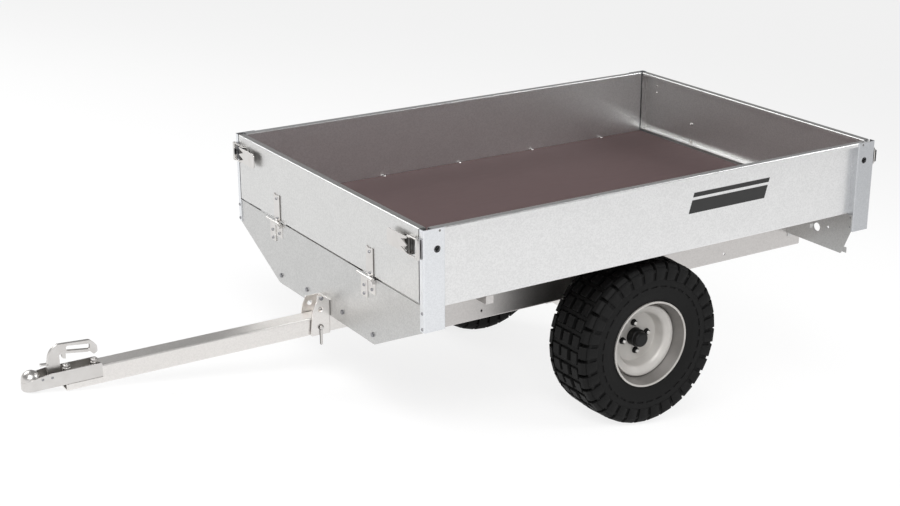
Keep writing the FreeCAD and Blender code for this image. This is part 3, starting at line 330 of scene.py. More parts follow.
@dataclass(frozen=True)
class ZincPlate(Finish):
    """Zinc-plated or turned steel: even grey with a faint drawn grain and soft highlights."""

    roughness: float = 0.28
    metallic: float = 1.0
    relief_mm: float = 0.2
    grain_mm: float = 1.6
    cloud_mm: float = 35.0

    def pattern(self, tree: bpy.types.NodeTree, place: Socket) -> tuple[Socket, Socket, Socket]:
        """Clouded tone, with a drawn grain for gloss and relief."""
        grain = noise(tree, stretched(tree, place, 0.12), self.grain_mm, 2.0)
        return noise(tree, place, self.cloud_mm, 4.0), grain, grain


@dataclass(frozen=True)
class Enamel(Finish):
    """Sprayed enamel on metal: even colour with a faint orange-peel ripple under a soft gloss."""

    grain_mm: float = 2.5


@dataclass(frozen=True)
class TyreRubber(Finish):
    """Moulded tyre rubber: matt near-black with a dusty bloom and a fine mould grain."""

    ior: float = 1.52
    bump: float = 0.15
    specular: float = 0.25
    # A mould's grain is about half a millimetre. It is drawn coarser, so that it softens the highlights.
    grain_mm: float = 1.2
    cloud_mm: float = 50.0

    def pattern(self, tree: bpy.types.NodeTree, place: Socket) -> tuple[Socket, Socket, Socket]:
        """Dusty cloud for tone and gloss, with the mould's grain as relief."""
        bloom = noise(tree, place, self.cloud_mm, 5.0)
        return bloom, bloom, noise(tree, place, self.grain_mm, 2.0)


@dataclass(frozen=True)
class FilmFacedPlywood(Finish):
    """Birch plywood under a brown phenolic film: dull plum-brown, faintly streaked, finely pebbled."""

    bump: float = 0.12
    grain_mm: float = 14.0
    pebble_mm: float = 3.0

    def pattern(self, tree: bpy.types.NodeTree, place: Socket) -> tuple[Socket, Socket, Socket]:
        """Streaks along the grain, with the film's pressed pebbles as relief.

        Args:
            tree: node tree of the material.
            place: object coordinates.

        Returns:
            What drives the tone, the roughness and the relief.
        """
        streaks = noise(tree, stretched(tree, place, 0.08), self.grain_mm, 5.0)
        pebbles = add_node(tree, "ShaderNodeTexVoronoi", {"feature": "SMOOTH_F1"},
                           {"Vector": place, "Scale": per_metre(self.pebble_mm)})
        return streaks, streaks, pebbles.outputs["Distance"]


class Palette:
    """Every finish of the trailer, made once."""

    def __init__(self) -> None:
        """Makes the materials."""
        # Zinc-dipped sheet and sections: pale dry greys, cooler on the posts and warmer on the frame. The gates,
        # the lower panels and the beams take darker copies of the same zinc, as painted shade for faces that turn
        # from the light or sit under the bed.
        zinc = GalvanisedSteel
        self.sheet = zinc("galvanised_sheet", "#ECECEC", "#E2E2E2").material()
        self.gate = zinc("galvanised_gate", "#DBDBDA", "#D1D1D0").material()
        self.panel = zinc("galvanised_lower_panel", "#CDCDCC", "#C1C1C0", 0.36, 0.05).material()
        self.frame_steel = zinc("galvanised_frame", "#EFECE9", "#E9E6E3", 0.38, 0.03).material()
        self.beam_steel_painted_shade = zinc("galvanised_beam", "#D2CFCD", "#CBC8C6", 0.38, 0.03).material()
        self.post = zinc("galvanised_post", "#E8EAED", "#E0E2E5", 0.33, 0.04, grain_mm=3.0).material()
        self.dull_post = zinc("dull_galvanised_post", "#C8CACD", "#BFC1C4", 0.38, 0.04,
                              grain_mm=3.0).material()
        # Zinc-plated fittings: bright pressings and duller fasteners, with a mid grey and a dark grey of plated
        # steel painted as shade on edges, sunk heads and hollows.
        self.plate = ZincPlate("zinc_plated_steel", "#DDDBD9", "#D2CFCC", 0.34).material()
        self.grey_painted_shade = ZincPlate("grey_steel_painted_shade", "#8E8B88", "#7A7774", 0.5).material()
        self.dark_painted_shade = ZincPlate("dark_steel_painted_shade", "#6E6C6A", "#5C5A58", 0.45).material()
        self.dull_zinc = ZincPlate("dull_zinc_fastener", "#A3A3A6", "#929295", 0.42).material()
        # Phenolic film on birch: a dull plum-brown floor without highlights.
        self.plywood = FilmFacedPlywood("film_faced_plywood", "#5F4D4D", "#574545", 0.7).material()
        # Moulded rubber: near-black, with only broad faint highlights on the blocks.
        self.rubber = TyreRubber("tyre_rubber", "#0B0B0B", "#060606", 0.7, 0.12).material()
        # Enamels and films: a warm silver rim with painted shade in its barrel's well, a black hub, dark stripes.
        self.rim = Enamel("silver_rim_enamel", "#D2CFCB", "#C6C3BF", 0.58, 0.08, 0.5).material()
        self.rim_well = Enamel("rim_enamel_painted_shade", "#8B8885", "#7E7B78", 0.5, 0.08, 0.6).material()
        self.black = Enamel("black_hub_enamel", "#101010", "#090909", 0.45, specular=0.3).material()
        self.film = Enamel("black_stripe_film", "#242424", "#1C1C1C", 0.38).material()


# ---------------------------------------------------------------- bench: shared mesh work
PRESSED_CREASE = 40.0  # spun and pressed sheet stays smooth round bends up to this many degrees


@dataclass
class Bench:
    """Turns finished meshes into objects on the parked trailer."""

    palette: Palette

    def place(self, bm: Mesh, name: str, body: Body, materials: tuple[bpy.types.Material, ...],
              slot: str, replaces: tuple[str, ...] = (), crease_deg: float = 32.0) -> bpy.types.Object:
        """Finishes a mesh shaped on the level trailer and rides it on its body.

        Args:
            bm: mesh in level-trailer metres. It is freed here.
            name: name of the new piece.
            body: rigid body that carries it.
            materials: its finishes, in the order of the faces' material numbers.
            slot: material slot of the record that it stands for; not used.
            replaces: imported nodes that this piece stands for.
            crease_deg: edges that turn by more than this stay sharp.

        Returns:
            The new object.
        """
        bmesh.ops.remove_doubles(bm, verts=bm.verts, dist=1e-6)
        bmesh.ops.recalc_face_normals(bm, faces=bm.faces)
        bmesh.ops.transform(bm, matrix=PARKING.matrix, verts=bm.verts)
        crease = math.radians(crease_deg)
        for face in bm.faces:
            face.smooth = True
        for edge in bm.edges:
            edge.smooth = len(edge.link_faces) == 2 and edge.calc_face_angle(0.0) < crease
        mesh = bpy.data.meshes.new(name)
        bm.to_mesh(mesh)
        bm.free()
        for material in materials:
            mesh.materials.append(material)
        piece = bpy.data.objects.new(name, mesh)
        bpy.context.scene.collection.objects.link(piece)
        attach(piece, body.value)
        if replaces:
            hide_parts(*replaces)
        LOG.info("%s: %d faces on %s", name, len(mesh.polygons), body.value)
        return piece


def bevel(bm: Mesh, edges: list, width: float, segments: int = 1) -> None:
    """Rounds edges by a width."""
    bmesh.ops.bevel(bm, geom=edges, offset=width, offset_type="OFFSET", segments=segments, profile=0.5,
                    affect="EDGES", material=-1, clamp_overlap=True)


def rim_of(face: bmesh.types.BMFace) -> list:
    """The face's edges."""
    return list(face.edges)


def all_of(bm: Mesh) -> list:
    """Every vertex, edge and face of a mesh."""
    return bm.verts[:] + bm.edges[:] + bm.faces[:]


def verts_in(geometry: list) -> list:
    """The vertices among mesh elements."""
    return [g for g in geometry if isinstance(g, bmesh.types.BMVert)]


def topmost(bm: Mesh) -> bmesh.types.BMFace:
    """The face whose middle is highest."""
    return max(bm.faces, key=lambda f: f.calc_center_median().z)


def sharp_edges(bm: Mesh, chosen: Callable[[Vector], bool]) -> list:
    """Edges that turn by more than a radian, with both ends in a chosen region."""
    return [e for e in bm.edges if all(chosen(v.co) for v in e.verts) and e.calc_face_angle(0.0) > 1.0]


def mirrored(bm: Mesh) -> Mesh:
    """Turns a mesh over to the other side of Y, its faces kept outwards.

    Args:
        bm: mesh to turn over.

    Returns:
        The same mesh.
    """
    bmesh.ops.scale(bm, vec=(1.0, -1.0, 1.0), verts=bm.verts)
    bmesh.ops.reverse_faces(bm, faces=bm.faces[:])
    return bm


def plane_x(x: float) -> Callable[[float, float], Vector]:
    """Puts (u, v) on a plane square to X, u along Y and v up."""
    return lambda u, v: Vector((x, u, v))


def plane_y(y: float, at: Vector = Vector((0.0, 0.0, 0.0))) -> Callable[[float, float], Vector]:
    """Puts (u, v) on a plane square to Y, u along X and v up, counted from a point."""
    return lambda u, v: Vector((at.x + u, y, at.z + v))


def join(bm: Mesh, part: Mesh, number: int = 0) -> None:
    """Adds a finished part to a mesh.

    Args:
        bm: mesh that grows.
        part: mesh that is added, and freed.
        number: material number added to the part's faces.
    """
    for face in part.faces:
        face.material_index += number
    carried = bpy.data.meshes.new("part")
    part.to_mesh(carried)
    part.free()
    bm.from_mesh(carried)
    bpy.data.meshes.remove(carried)


def outline_face(corners: Outline, put: Callable[[float, float], Vector], arc_steps: int = 5) -> Mesh:
    """Starts a mesh from one flat face, its corners rounded where a radius is given.

    Args:
        corners: (u, v) or (u, v, radius).
        put: turns u and v into a point.
        arc_steps: steps across each rounded corner.

    Returns:
        The new mesh.
    """
    bm = bmesh.new()
    verts = [bm.verts.new(put(*corner[:2])) for corner in corners]
    bm.faces.new(verts)
    cuts = []
    for i, corner in enumerate(corners):
        if len(corner) > 2:
            back = verts[i - 1].co - verts[i].co
            ahead = verts[(i + 1) % len(verts)].co - verts[i].co
            cuts.append((verts[i], corner[2] / math.tan(back.angle(ahead) / 2)))
    for vert, offset in cuts:
        bmesh.ops.bevel(bm, geom=[vert], offset=offset, offset_type="OFFSET", segments=arc_steps,
                        profile=0.5, affect="VERTICES", material=-1, clamp_overlap=False)
    return bm


def plate(corners: Outline, put: Callable[[float, float], Vector], thickness: Vector,
          edge: float = 0.0, side_number: int = 0) -> Mesh:
    """Plate with rounded corners, its outer rim eased.

    Args:
        corners: (u, v) or (u, v, radius).
        put: turns u and v into a point of the plate's back.
        thickness: from the plate's back to its front.
        edge: width of the eased front rim.
        side_number: material number of the plate's sides.

    Returns:
        The new mesh.
    """
    bm = outline_face(corners, put)
    grown = bmesh.ops.extrude_face_region(bm, geom=bm.faces[:])["geom"]
    bmesh.ops.translate(bm, vec=thickness, verts=verts_in(grown))
    bm.normal_update()
    front = next(g for g in grown if isinstance(g, bmesh.types.BMFace))
    for face in bm.faces:
        if abs(face.normal.dot(thickness)) < 0.5 * thickness.length:
            face.material_index = side_number
    if edge > 0:
        bevel(bm, rim_of(front), edge)
    return bm


def pierced_plate(corners: Outline, holes: Sequence[Outline], put: Callable[[float, float], Vector],
                  thickness: Vector) -> Mesh:
    """Plate with rounded corners and rounded openings through it.

    Args:
        corners: (u, v) or (u, v, radius) of its outline.
        holes: the same for each opening.
        put: turns u and v into a point of the plate's back.
        thickness: from the plate's back to its front.

    Returns:
        The new mesh.
    """
    bm = outline_face(corners, put)
    for hole in holes:
        join(bm, outline_face(hole, put))
    bmesh.ops.delete(bm, geom=bm.faces[:], context="FACES_ONLY")
    bmesh.ops.triangle_fill(bm, use_beauty=True, use_dissolve=False, edges=bm.edges[:])
    grown = bmesh.ops.extrude_face_region(bm, geom=bm.faces[:], use_keep_orig=True)["geom"]
    bmesh.ops.translate(bm, vec=thickness, verts=verts_in(grown))
    return bm


def box(low: tuple, high: tuple, edge: float = 0.0, segments: int = 1) -> Mesh:
    """Box between two corners, its edges eased if asked.

    Args:
        low: its lowest corner.
        high: its highest corner.
        edge: width of the eased edges.
        segments: steps across each eased edge.

    Returns:
        The new mesh.
    """
    bm = bmesh.new()
    size = Vector(high) - Vector(low)
    centre = (Vector(high) + Vector(low)) / 2
    bmesh.ops.create_cube(bm, size=1.0,
                          matrix=Matrix.Translation(centre) @ Matrix.Diagonal((*size, 1.0)))
    if edge > 0:
        bevel(bm, bm.edges[:], edge, segments)
    return bm


def rod(start: Vector, end: Vector, radius: float, sides: int = 16, far_radius: float | None = None,
        edge: float = 0.0, segments: int = 1) -> Mesh:
    """Round bar, cone or prism between two points.

    Args:
        start: middle of its first end.
        end: middle of its far end.
        radius: radius at the first end.
        sides: flats round it.
        far_radius: radius at the far end, if it differs.
        edge: width of the eased rim at the far end.
        segments: steps across the eased rim.

    Returns:
        The new mesh.
    """
    bm = bmesh.new()
    along = end - start
    turn = along.to_track_quat("Z", "Y").to_matrix().to_4x4()
    far_radius = radius if far_radius is None else far_radius
    bmesh.ops.create_cone(bm, cap_ends=True, segments=sides, radius1=radius, radius2=far_radius,
                          depth=along.length)
    if edge > 0:
        bevel(bm, rim_of(topmost(bm)), edge, segments)
    bmesh.ops.transform(bm, matrix=Matrix.Translation((start + end) / 2) @ turn, verts=bm.verts)
    return bm


def turned(outline: Outline, steps: int, arc_steps: int = 4, place: Vector | None = None) -> Mesh:
    """Closed ring or solid turned about the Y axis, or about a line along Y through a place.

    Args:
        outline: corners of its section, (along the axis, out from it[, corner radius]).
        steps: steps of the full turn.
        arc_steps: steps across each rounded corner.
        place: where the finished ring is moved to, if not left at the origin.

    Returns:
        The new mesh.
    """
    bm = outline_face(outline, plane_x(0.0), arc_steps)
    bmesh.ops.delete(bm, geom=bm.faces[:], context="FACES_ONLY")
    on_axis = [e for e in bm.edges if all(v.co.z < 1e-7 for v in e.verts)]
    bmesh.ops.delete(bm, geom=on_axis, context="EDGES")
    spin_whole(bm, steps)
    if place is not None:
        bmesh.ops.translate(bm, vec=place, verts=bm.verts)
    return bm


def spin_whole(bm: Mesh, steps: int) -> None:
    """Turns a section right round the Y axis and closes its seam and poles.

    Args:
        bm: mesh that holds the section.
        steps: steps of the full turn.
    """
    bmesh.ops.spin(bm, geom=bm.verts[:] + bm.edges[:], cent=(0, 0, 0), axis=(0, 1, 0), dvec=(0, 0, 0),
                   angle=2 * math.pi, steps=steps, use_merge=True, use_duplicate=False)
    bmesh.ops.remove_doubles(bm, verts=bm.verts, dist=1e-7)
    bmesh.ops.recalc_face_normals(bm, faces=bm.faces)


def spun_sheet(path: Outline, thickness: float, steps: int) -> Mesh:
    """Pressed sheet turned about the Y axis, its thickness laid left of the path.

    Args:
        path: corners of the sheet's line, (along the axis, out from it[, bend radius]).
        thickness: thickness of the sheet.
        steps: steps of the full turn.

    Returns:
        The new mesh.
    """
    bm = bmesh.new()
    verts = [bm.verts.new((0.0, corner[0], corner[1])) for corner in path]
    for first, second in zip(verts, verts[1:]):
        bm.edges.new((first, second))
    spin_whole(bm, steps)
    along = Vector(path[1][:2]) - Vector(path[0][:2])
    left = Vector((0.0, -along.y, along.x))
    middle = (Vector(path[1][:2]) + Vector(path[0][:2])) / 2
    first_band = Vector((0.0, middle.x, middle.y))
    near = min(bm.faces, key=lambda f: (f.calc_center_median() - first_band).length)
    bm.normal_update()
    if near.normal.dot(left) > 0:
        bmesh.ops.reverse_faces(bm, faces=bm.faces[:])
    for i in range(1, len(path) - 1):
        s, r = path[i][:2]
        if len(path[i]) > 2:
            back = Vector(path[i - 1][:2]) - Vector((s, r))
            ahead = Vector(path[i + 1][:2]) - Vector((s, r))
            ring = [e for e in bm.edges
                    if all(abs(v.co.y - s) < 1e-6 and abs(math.hypot(v.co.x, v.co.z) - r) < 1e-6
                           for v in e.verts)]
            bevel(bm, ring, path[i][2] / math.tan(back.angle(ahead) / 2), 4)
    bmesh.ops.solidify(bm, geom=bm.faces[:], thickness=thickness)
    return bm


def repeat_round(bm: Mesh, count: int, turn: float = 0.0) -> Mesh:
    """Repeats a part made above the Y axis evenly round it.

    Args:
        bm: the part, which becomes the whole ring of parts.
        count: how many there are in all.
        turn: angle of the first one from straight up.

    Returns:
        The same mesh.
    """
    bmesh.ops.rotate(bm, cent=(0, 0, 0), matrix=Matrix.Rotation(turn, 3, "Y"), verts=bm.verts)
    bmesh.ops.spin(bm, geom=all_of(bm), cent=(0, 0, 0), axis=(0, 1, 0), dvec=(0, 0, 0),
                   angle=2 * math.pi * (count - 1) / count, steps=count - 1, use_merge=False,
                   use_duplicate=True)
    return bm


@dataclass
class BentBar:
    """Round bar drawn through straight runs and bends, closed at its ends."""

    radius: float
    sides: int = 10
    mesh: Mesh = field(init=False)
    tip: list = field(init=False)

    def start(self, place: Vector, ahead: Vector) -> "BentBar":
        """Sets the bar's first ring at a place, facing ahead.

        Args:
            place: middle of the first ring.
            ahead: direction of the first run.

        Returns:
            The bar itself.
        """
        self.mesh = bmesh.new()
        turn = ahead.to_track_quat("Z", "Y").to_matrix().to_4x4()
        bmesh.ops.create_circle(self.mesh, cap_ends=False, radius=self.radius, segments=self.sides,
                                matrix=Matrix.Translation(place) @ turn)
        self.tip = self.mesh.verts[:] + self.mesh.edges[:]
        return self

    def run(self, reach: Vector) -> "BentBar":
        """Draws the bar on in a straight line.

        Args:
            reach: from the last ring to the new one.

        Returns:
            The bar itself.
        """
        edges = [g for g in self.tip if isinstance(g, bmesh.types.BMEdge)]
        self.tip = bmesh.ops.extrude_edge_only(self.mesh, edges=edges)["geom"]
        self.tip = [g for g in self.tip if not isinstance(g, bmesh.types.BMFace)]
        verts = verts_in(self.tip)
        self.tip = verts + [e for e in self.mesh.edges if all(v in verts for v in e.verts)]
        bmesh.ops.translate(self.mesh, vec=reach, verts=verts)
        return self

    def bend(self, centre: Vector, axis: Vector, angle: float, steps: int = 4) -> "BentBar":
        """Draws the bar on round a bend.

        Args:
            centre: middle of the bend.
            axis: line that the bar turns about.
            angle: angle of the bend.
            steps: rings drawn over it.

        Returns:
            The bar itself.
        """
        made = bmesh.ops.spin(self.mesh, geom=self.tip, cent=centre, axis=axis, dvec=(0, 0, 0),
                              angle=angle, steps=steps, use_merge=False, use_duplicate=False)
        self.tip = [g for g in made["geom_last"] if not isinstance(g, bmesh.types.BMFace)]
        return self

    def finish(self) -> Mesh:
        """Closes both ends and gives up the mesh."""
        bmesh.ops.holes_fill(self.mesh, edges=[e for e in self.mesh.edges if e.is_boundary], sides=0)
        return self.mesh


# ---------------------------------------------------------------- fasteners
ROOT = 0.0005  # how deep a head's foot is sunk, so that it never floats


class Head(Enum):
    """Kinds of fastener head."""

    RIVET = "rivet"
    BOLT = "bolt"
    NUT = "nut"


@dataclass(frozen=True)
class HeadShape:
    """Proportions of the heads: heights as shares of the height, the rest of the width across."""

    rivet_crown: float = 0.34
    rivet_ease: float = 0.12
    washer_height: float = 0.16
    washer_radius: float = 0.62
    flats_ease: float = 0.06
    stud_height: float = 1.35
    stud_radius: float = 0.29
    stud_ease: float = 0.05


SHAPE = HeadShape()


def fastener(kind: Head, foot: Vector, out: Vector, across: float, height: float) -> Mesh:
    """One head of a rivet, bolt or nut standing on a surface.

    Args:
        kind: which head it is.
        foot: where its middle meets the surface.
        out: unit direction away from the surface.
        across: width of the head.
        height: how far it stands out.

    Returns:
        The new mesh.
    """
    root = foot - out * ROOT
    if kind is Head.RIVET:
        return rod(root, foot + out * height, across / 2, 12, across * SHAPE.rivet_crown,
                   across * SHAPE.rivet_ease, 2)
    corners = across / 2 / math.cos(math.pi / 6)
    bm = rod(root, foot + out * (height * SHAPE.washer_height), across * SHAPE.washer_radius, 16)
    join(bm, rod(root, foot + out * height, corners, 6, edge=across * SHAPE.flats_ease))
    if kind is Head.NUT:
        join(bm, rod(foot, foot + out * (height * SHAPE.stud_height), across * SHAPE.stud_radius, 12,
                     edge=across * SHAPE.stud_ease))
    return bm


@dataclass
class FastenerRow:
    """Like fasteners on one body, made as one piece."""

    name: str
    body: Body
    kind: Head
    across: float
    height: float
    places: list[tuple[Vector, Vector]] = field(default_factory=list)

    def add(self, x: float, y: float, z: float, out: tuple[float, float, float]) -> None:
        """Adds a place and its outward direction."""
        self.places.append((Vector((x, y, z)), Vector(out).normalized()))

    def build(self, bench: Bench, material: bpy.types.Material) -> None:
        """Makes the piece.

        Args:
            bench: finishes and places the meshes.
            material: finish of every head.
        """
        bm = bmesh.new()
        for foot, out in self.places:
            join(bm, fastener(self.kind, foot, out, self.across, self.height))
        bench.place(bm, self.name, self.body, (material,), "zinc_plate")


# ---------------------------------------------------------------- wheels
@dataclass
class Wheel:
    """Low wide tyre with block tread on a spun steel rim, and its hub.

    Sections are given outboard from the wheel's middle and out from its axle.
    """

    side: Side
    radius: float = 0.2788
    base_radius: float = 0.2585
    rib_radius: float = 0.2690
    tie_radius: float = 0.2715
    tie_length: float = 0.0130
    half_width: float = 0.1248
    pitches: int = 32
    rows: tuple[float, ...] = (-0.050, 0.0, 0.050)
    block_width: float = 0.034
    block_length: float = 0.039
    groove_radius: float = 0.199
    steps: int = 128
    rim_sheet: float = 0.0035
    stud_circle: float = 0.050
    stud_turn_deg: float = -6.0
    rim_lip: float = 0.1460
    rim_seat: float = 0.1280
    rim_well: float = 0.1080
    rim_edge: float = 0.1185
    rim_slope: float = 0.0740
    rim_bead: float = 0.0042
    painted_shade_from: float = 0.050
    tie_half_width: float = 0.0780
    block_taper: tuple[float, float, float] = (0.93, 0.95, 1.0)
    row_drop: float = 0.0022
    sink: float = 0.0020
    # Where each line across an even tyre lies on the finished one, whose inboard half is narrower.
    across: tuple[tuple[float, float], ...] = (
        (-0.1248, -0.0790), (-0.0770, -0.0450), (-0.0685, -0.0400), (0.0685, 0.0900),
        (0.0770, 0.0960), (0.1248, 0.1248))
    rim_inboard: float = 0.66
    crown: Outline = (
        (0.0770, 0.2600), (0.0770, 0.2762), (0.1010, 0.2738, 0.02), (0.1168, 0.2660, 0.006),
        (0.1190, 0.2560), (0.1150, 0.2500))
    crown_gap: float = 0.0068
    side_gap: float = 0.0062
    disc: Outline = (
        (0.0300, 0.1206), (0.0855, 0.1206, 0.0065), (0.0670, 0.0960, 0.0140),
        (0.0280, 0.0880, 0.0080), (0.0280, 0.0310))
    barrel_and_cap: Outline = (
        (-0.0240, 0.0151), (-0.0240, 0.0300, 0.002), (0.0190, 0.0300, 0.002), (0.0190, 0.0630, 0.0015),
        (0.0278, 0.0630), (0.0278, 0.0300), (0.0560, 0.0300, 0.0020), (0.0585, 0.0262, 0.001),
        (0.0722, 0.0252, 0.0045), (0.0745, 0.0180, 0.006), (0.0748, 0.0), (0.0550, 0.0),
        (0.0550, 0.0151))
    studs: int = 4
    nut_radius: float = 0.0098
    nut_height: float = 0.0115
    stud_radius: float = 0.0062

    def put(self, bm: Mesh) -> Mesh:
        """Moves a mesh made about the origin to this wheel, outboard its own way.

        Args:
            bm: mesh with its outboard side towards +Y.

        Returns:
            The same mesh.
        """
        if self.side is Side.RIGHT:
            mirrored(bm)
        bmesh.ops.translate(bm, vec=LevelBox(f"tyre_{self.side.word}").middle, verts=bm.verts)
        return bm

    def build(self, bench: Bench) -> None:
        """Makes the tyre, rim and hub.

        Args:
            bench: finishes and places the meshes.
        """
        word, body, palette = self.side.word, self.side.wheel, bench.palette
        bench.place(self.put(self.tyre()), f"tyre_tread_{word}", body, (palette.rubber,), "tyre",
                    (f"tyre_{word}",))
        bench.place(self.put(self.rim()), f"rim_spun_{word}", body, (palette.rim, palette.rim_well),
                    "rim_paint", (f"rim_{word}",), PRESSED_CREASE)
        bench.place(self.put(self.hub()), f"hub_and_nuts_{word}", body,
                    (palette.black, palette.plate), "black_paint", (f"hub_{word}",))

    def tyre(self) -> Mesh:
        """Carcass with three ribs of blocks, shoulder lugs and a broken ring on each side wall.

        Returns:
            The new mesh.
        """
        half, base, rib = self.half_width, self.base_radius, self.rib_radius
        edge, row, groove = self.block_width / 2, self.rows[2], self.groove_radius
        ribs = [(edge, rib), (edge, base), (row - edge, base), (row - edge, rib), (row + edge, rib),
                (row + edge, base), (0.0800, base)]
        shoulder = [(0.1120, 0.2560, 0.004), (0.1195, 0.2570, 0.003), (0.1225, 0.2480, 0.003),
                    (0.1160, 0.2460, 0.002), (0.1160, 0.2240, 0.003), (0.1222, 0.2200, 0.003)]
        ring = [(0.1224, groove + 0.0034), (0.1176, groove + 0.0024), (0.1176, groove - 0.0024),
                (0.1220, groove - 0.0034)]
        wall = [(0.1185, 0.1760, 0.040), (0.1110, 0.1540, 0.006), (0.1085, 0.1475)]
        inside = [(0.1052, 0.1466), (0.0495, 0.1290), (0.0400, 0.1290), (0.0700, 0.1640, 0.010),
                  (half - 0.0150, 0.1950, 0.030), (half - 0.0180, 0.2350, 0.020),
                  (0.0850, 0.2500, 0.010)]
        outboard = ribs + shoulder + ring + wall + inside
        inboard = [(-corner[0], *corner[1:]) for corner in reversed(outboard)]
        bm = turned(outboard + inboard, self.steps)
        for place in self.rows:
            join(bm, repeat_round(self.block(place), self.pitches))
        half_pitch, tie = math.pi / self.pitches, self.tie_length / 2
        bridge = box((-tie, -self.tie_half_width, base - self.sink),
                     (tie, self.tie_half_width, self.tie_radius), 0.0010)
        join(bm, repeat_round(bridge, self.pitches, half_pitch))
        for turn_over in (False, True):
            for part in (self.crown_lug(), self.side_lug(), self.ring_bridge()):
                join(bm, repeat_round(mirrored(part) if turn_over else part, self.pitches, half_pitch))
        for vert in bm.verts:
            vert.co.y = self.spread(vert.co.y)
        return bm

    def spread(self, s: float) -> float:
        """Place across the finished tyre, whose inboard half is the narrower one.

        Args:
            s: place across an even tyre, outboard from its middle.

        Returns:
            The same line's place on the finished tyre.
        """
        spans = zip(self.across, self.across[1:])
        (near, near_to), (far, far_to) = next(
            (first, last) for first, last in spans if s <= last[0] or last == self.across[-1])
        return near_to + (s - near) * (far_to - near_to) / (far - near)

    def block(self, row: float) -> Mesh:
        """One tread block, a little narrower at its top than at its foot.

        Args:
            row: place of its row across the tyre.

        Returns:
            The new mesh.
        """
        half, reach, foot = self.block_width / 2, self.block_length / 2, self.rib_radius - self.sink
        top = self.radius - self.row_drop * (row / self.rows[2]) ** 2
        bm = box((-reach, row - half, foot), (reach, row + half, top))
        crown = [v for v in bm.verts if v.co.z > (foot + top) / 2]
        bmesh.ops.scale(bm, vec=self.block_taper, verts=crown,
                        space=Matrix.Translation((0, -row, 0)))
        bevel(bm, rim_of(topmost(bm)), 0.0012)
        return bm

    def crown_lug(self) -> Mesh:
        """One wide shoulder block on the crown, parted from the next by a narrow cut.

        Returns:
            The new mesh.
        """
        reach = math.pi * self.radius / self.pitches - self.crown_gap
        bm = plate(self.crown, plane_x(-reach), Vector((2 * reach, 0, 0)))
        bevel(bm, sharp_edges(bm, lambda co: co.z > 0.2640), 0.0012)
        return bm

    def side_lug(self) -> Mesh:
        """One narrower lug that carries the shoulder down the side wall.

        Returns:
            The new mesh.
        """
        outline = [(0.1120, 0.2600), (0.1212, 0.2620), (self.half_width, 0.2540, 0.006),
                   (self.half_width, 0.2250, 0.006), (0.1226, 0.2200), (0.1150, 0.2230)]
        bm = plate(outline, plane_x(-0.5), Vector((1.0, 0, 0)))
        for vert in bm.verts:
            reach = math.pi * vert.co.z / self.pitches - self.side_gap
            vert.co.x = math.copysign(reach, vert.co.x)
        bevel(bm, sharp_edges(bm, lambda co: co.y > 0.1215), 0.0010)
        return bm

    def ring_bridge(self) -> Mesh:
        """Flush bridge that breaks the side wall's ring groove into dashes."""
        groove, reach = self.groove_radius, 0.0070
        return box((-reach, 0.1160, groove - 0.0042), (reach, 0.1219, groove + 0.0042), 0.0006)

    def rim(self) -> Mesh:
        """Barrel with rolled flanges and a drop centre, and the dished disc with its round shoulder.

        Returns:
            The new mesh.
        """
        lip, seat, well, edge, slope = (
            self.rim_lip, self.rim_seat, self.rim_well, self.rim_edge, self.rim_slope)
        barrel = spun_sheet([
            (edge, lip), (edge - 0.0045, lip, 0.0015), (slope, seat, 0.0040),
            (-0.0220, seat, 0.0050), (-0.0260, well, 0.0060), (-0.0520, well, 0.0060),
            (-0.0560, seat, 0.0050), (-slope, seat, 0.0040), (0.0045 - edge, lip, 0.0015), (-edge, lip)],
            self.rim_sheet, self.steps)
        # The barrel's walls from each lip in to the seats take the greyer enamel, as painted shade of the deep
        # barrel; the lips keep the silver.
        for face in barrel.faces:
            middle = face.calc_center_median()
            out = math.hypot(middle.x, middle.z)
            if abs(middle.y) > self.painted_shade_from and out < lip - self.rim_bead:
                face.material_index = 1
        join(barrel, spun_sheet(self.disc, self.rim_sheet, self.steps))
        join(barrel, turned([
            (0.0262, 0.1245), (0.0262, 0.1206), (0.0306, 0.1206), (0.0306, 0.1245)], 96))
        for way in (1, -1):
            low, high = sorted((way * (edge - 0.0030), way * (edge + 0.0005)))
            join(barrel, turned([(low, lip - 0.0062, 0.0008), (low, lip), (high, lip, 0.0008),
                                 (high, lip - 0.0062, 0.0008)], self.steps, 2))
        for vert in barrel.verts:
            vert.co.y *= 1.0 if vert.co.y > 0 else self.rim_inboard
        return barrel

    def hub(self) -> Mesh:
        """Barrel, flange behind the disc, grease cap, and the studs with their chamfered nuts.

        Returns:
            The new mesh.
        """
        disc_face = self.disc[-1][0] + self.rim_sheet
        bm = turned(self.barrel_and_cap, 48)
        for i in range(self.studs):
            turn = Matrix.Rotation(-math.radians(self.stud_turn_deg + 360.0 / self.studs * i), 3, "Y")
            foot = turn @ Vector((self.stud_circle, 0.0, 0.0)) + Vector((0.0, disc_face - ROOT, 0.0))
            end = foot + Vector((0.0, self.nut_height, 0.0))
            washer = rod(foot, foot + Vector((0, 0.0025, 0)), 0.0120, 20, 0.0112)
            nut = rod(foot, end, self.nut_radius, 6, edge=0.0014)
            stud = rod(end - Vector((0, 0.001, 0)), end + Vector((0, 0.0032, 0)), self.stud_radius, 12,
                       edge=0.0012)
            # Washers and nuts take the hub's black as painted shade of their dark sides; the stud ends take the
            # bright zinc.
            for part, number in ((washer, 0), (nut, 0), (stud, 1)):
                join(bm, part, number)
        return bm


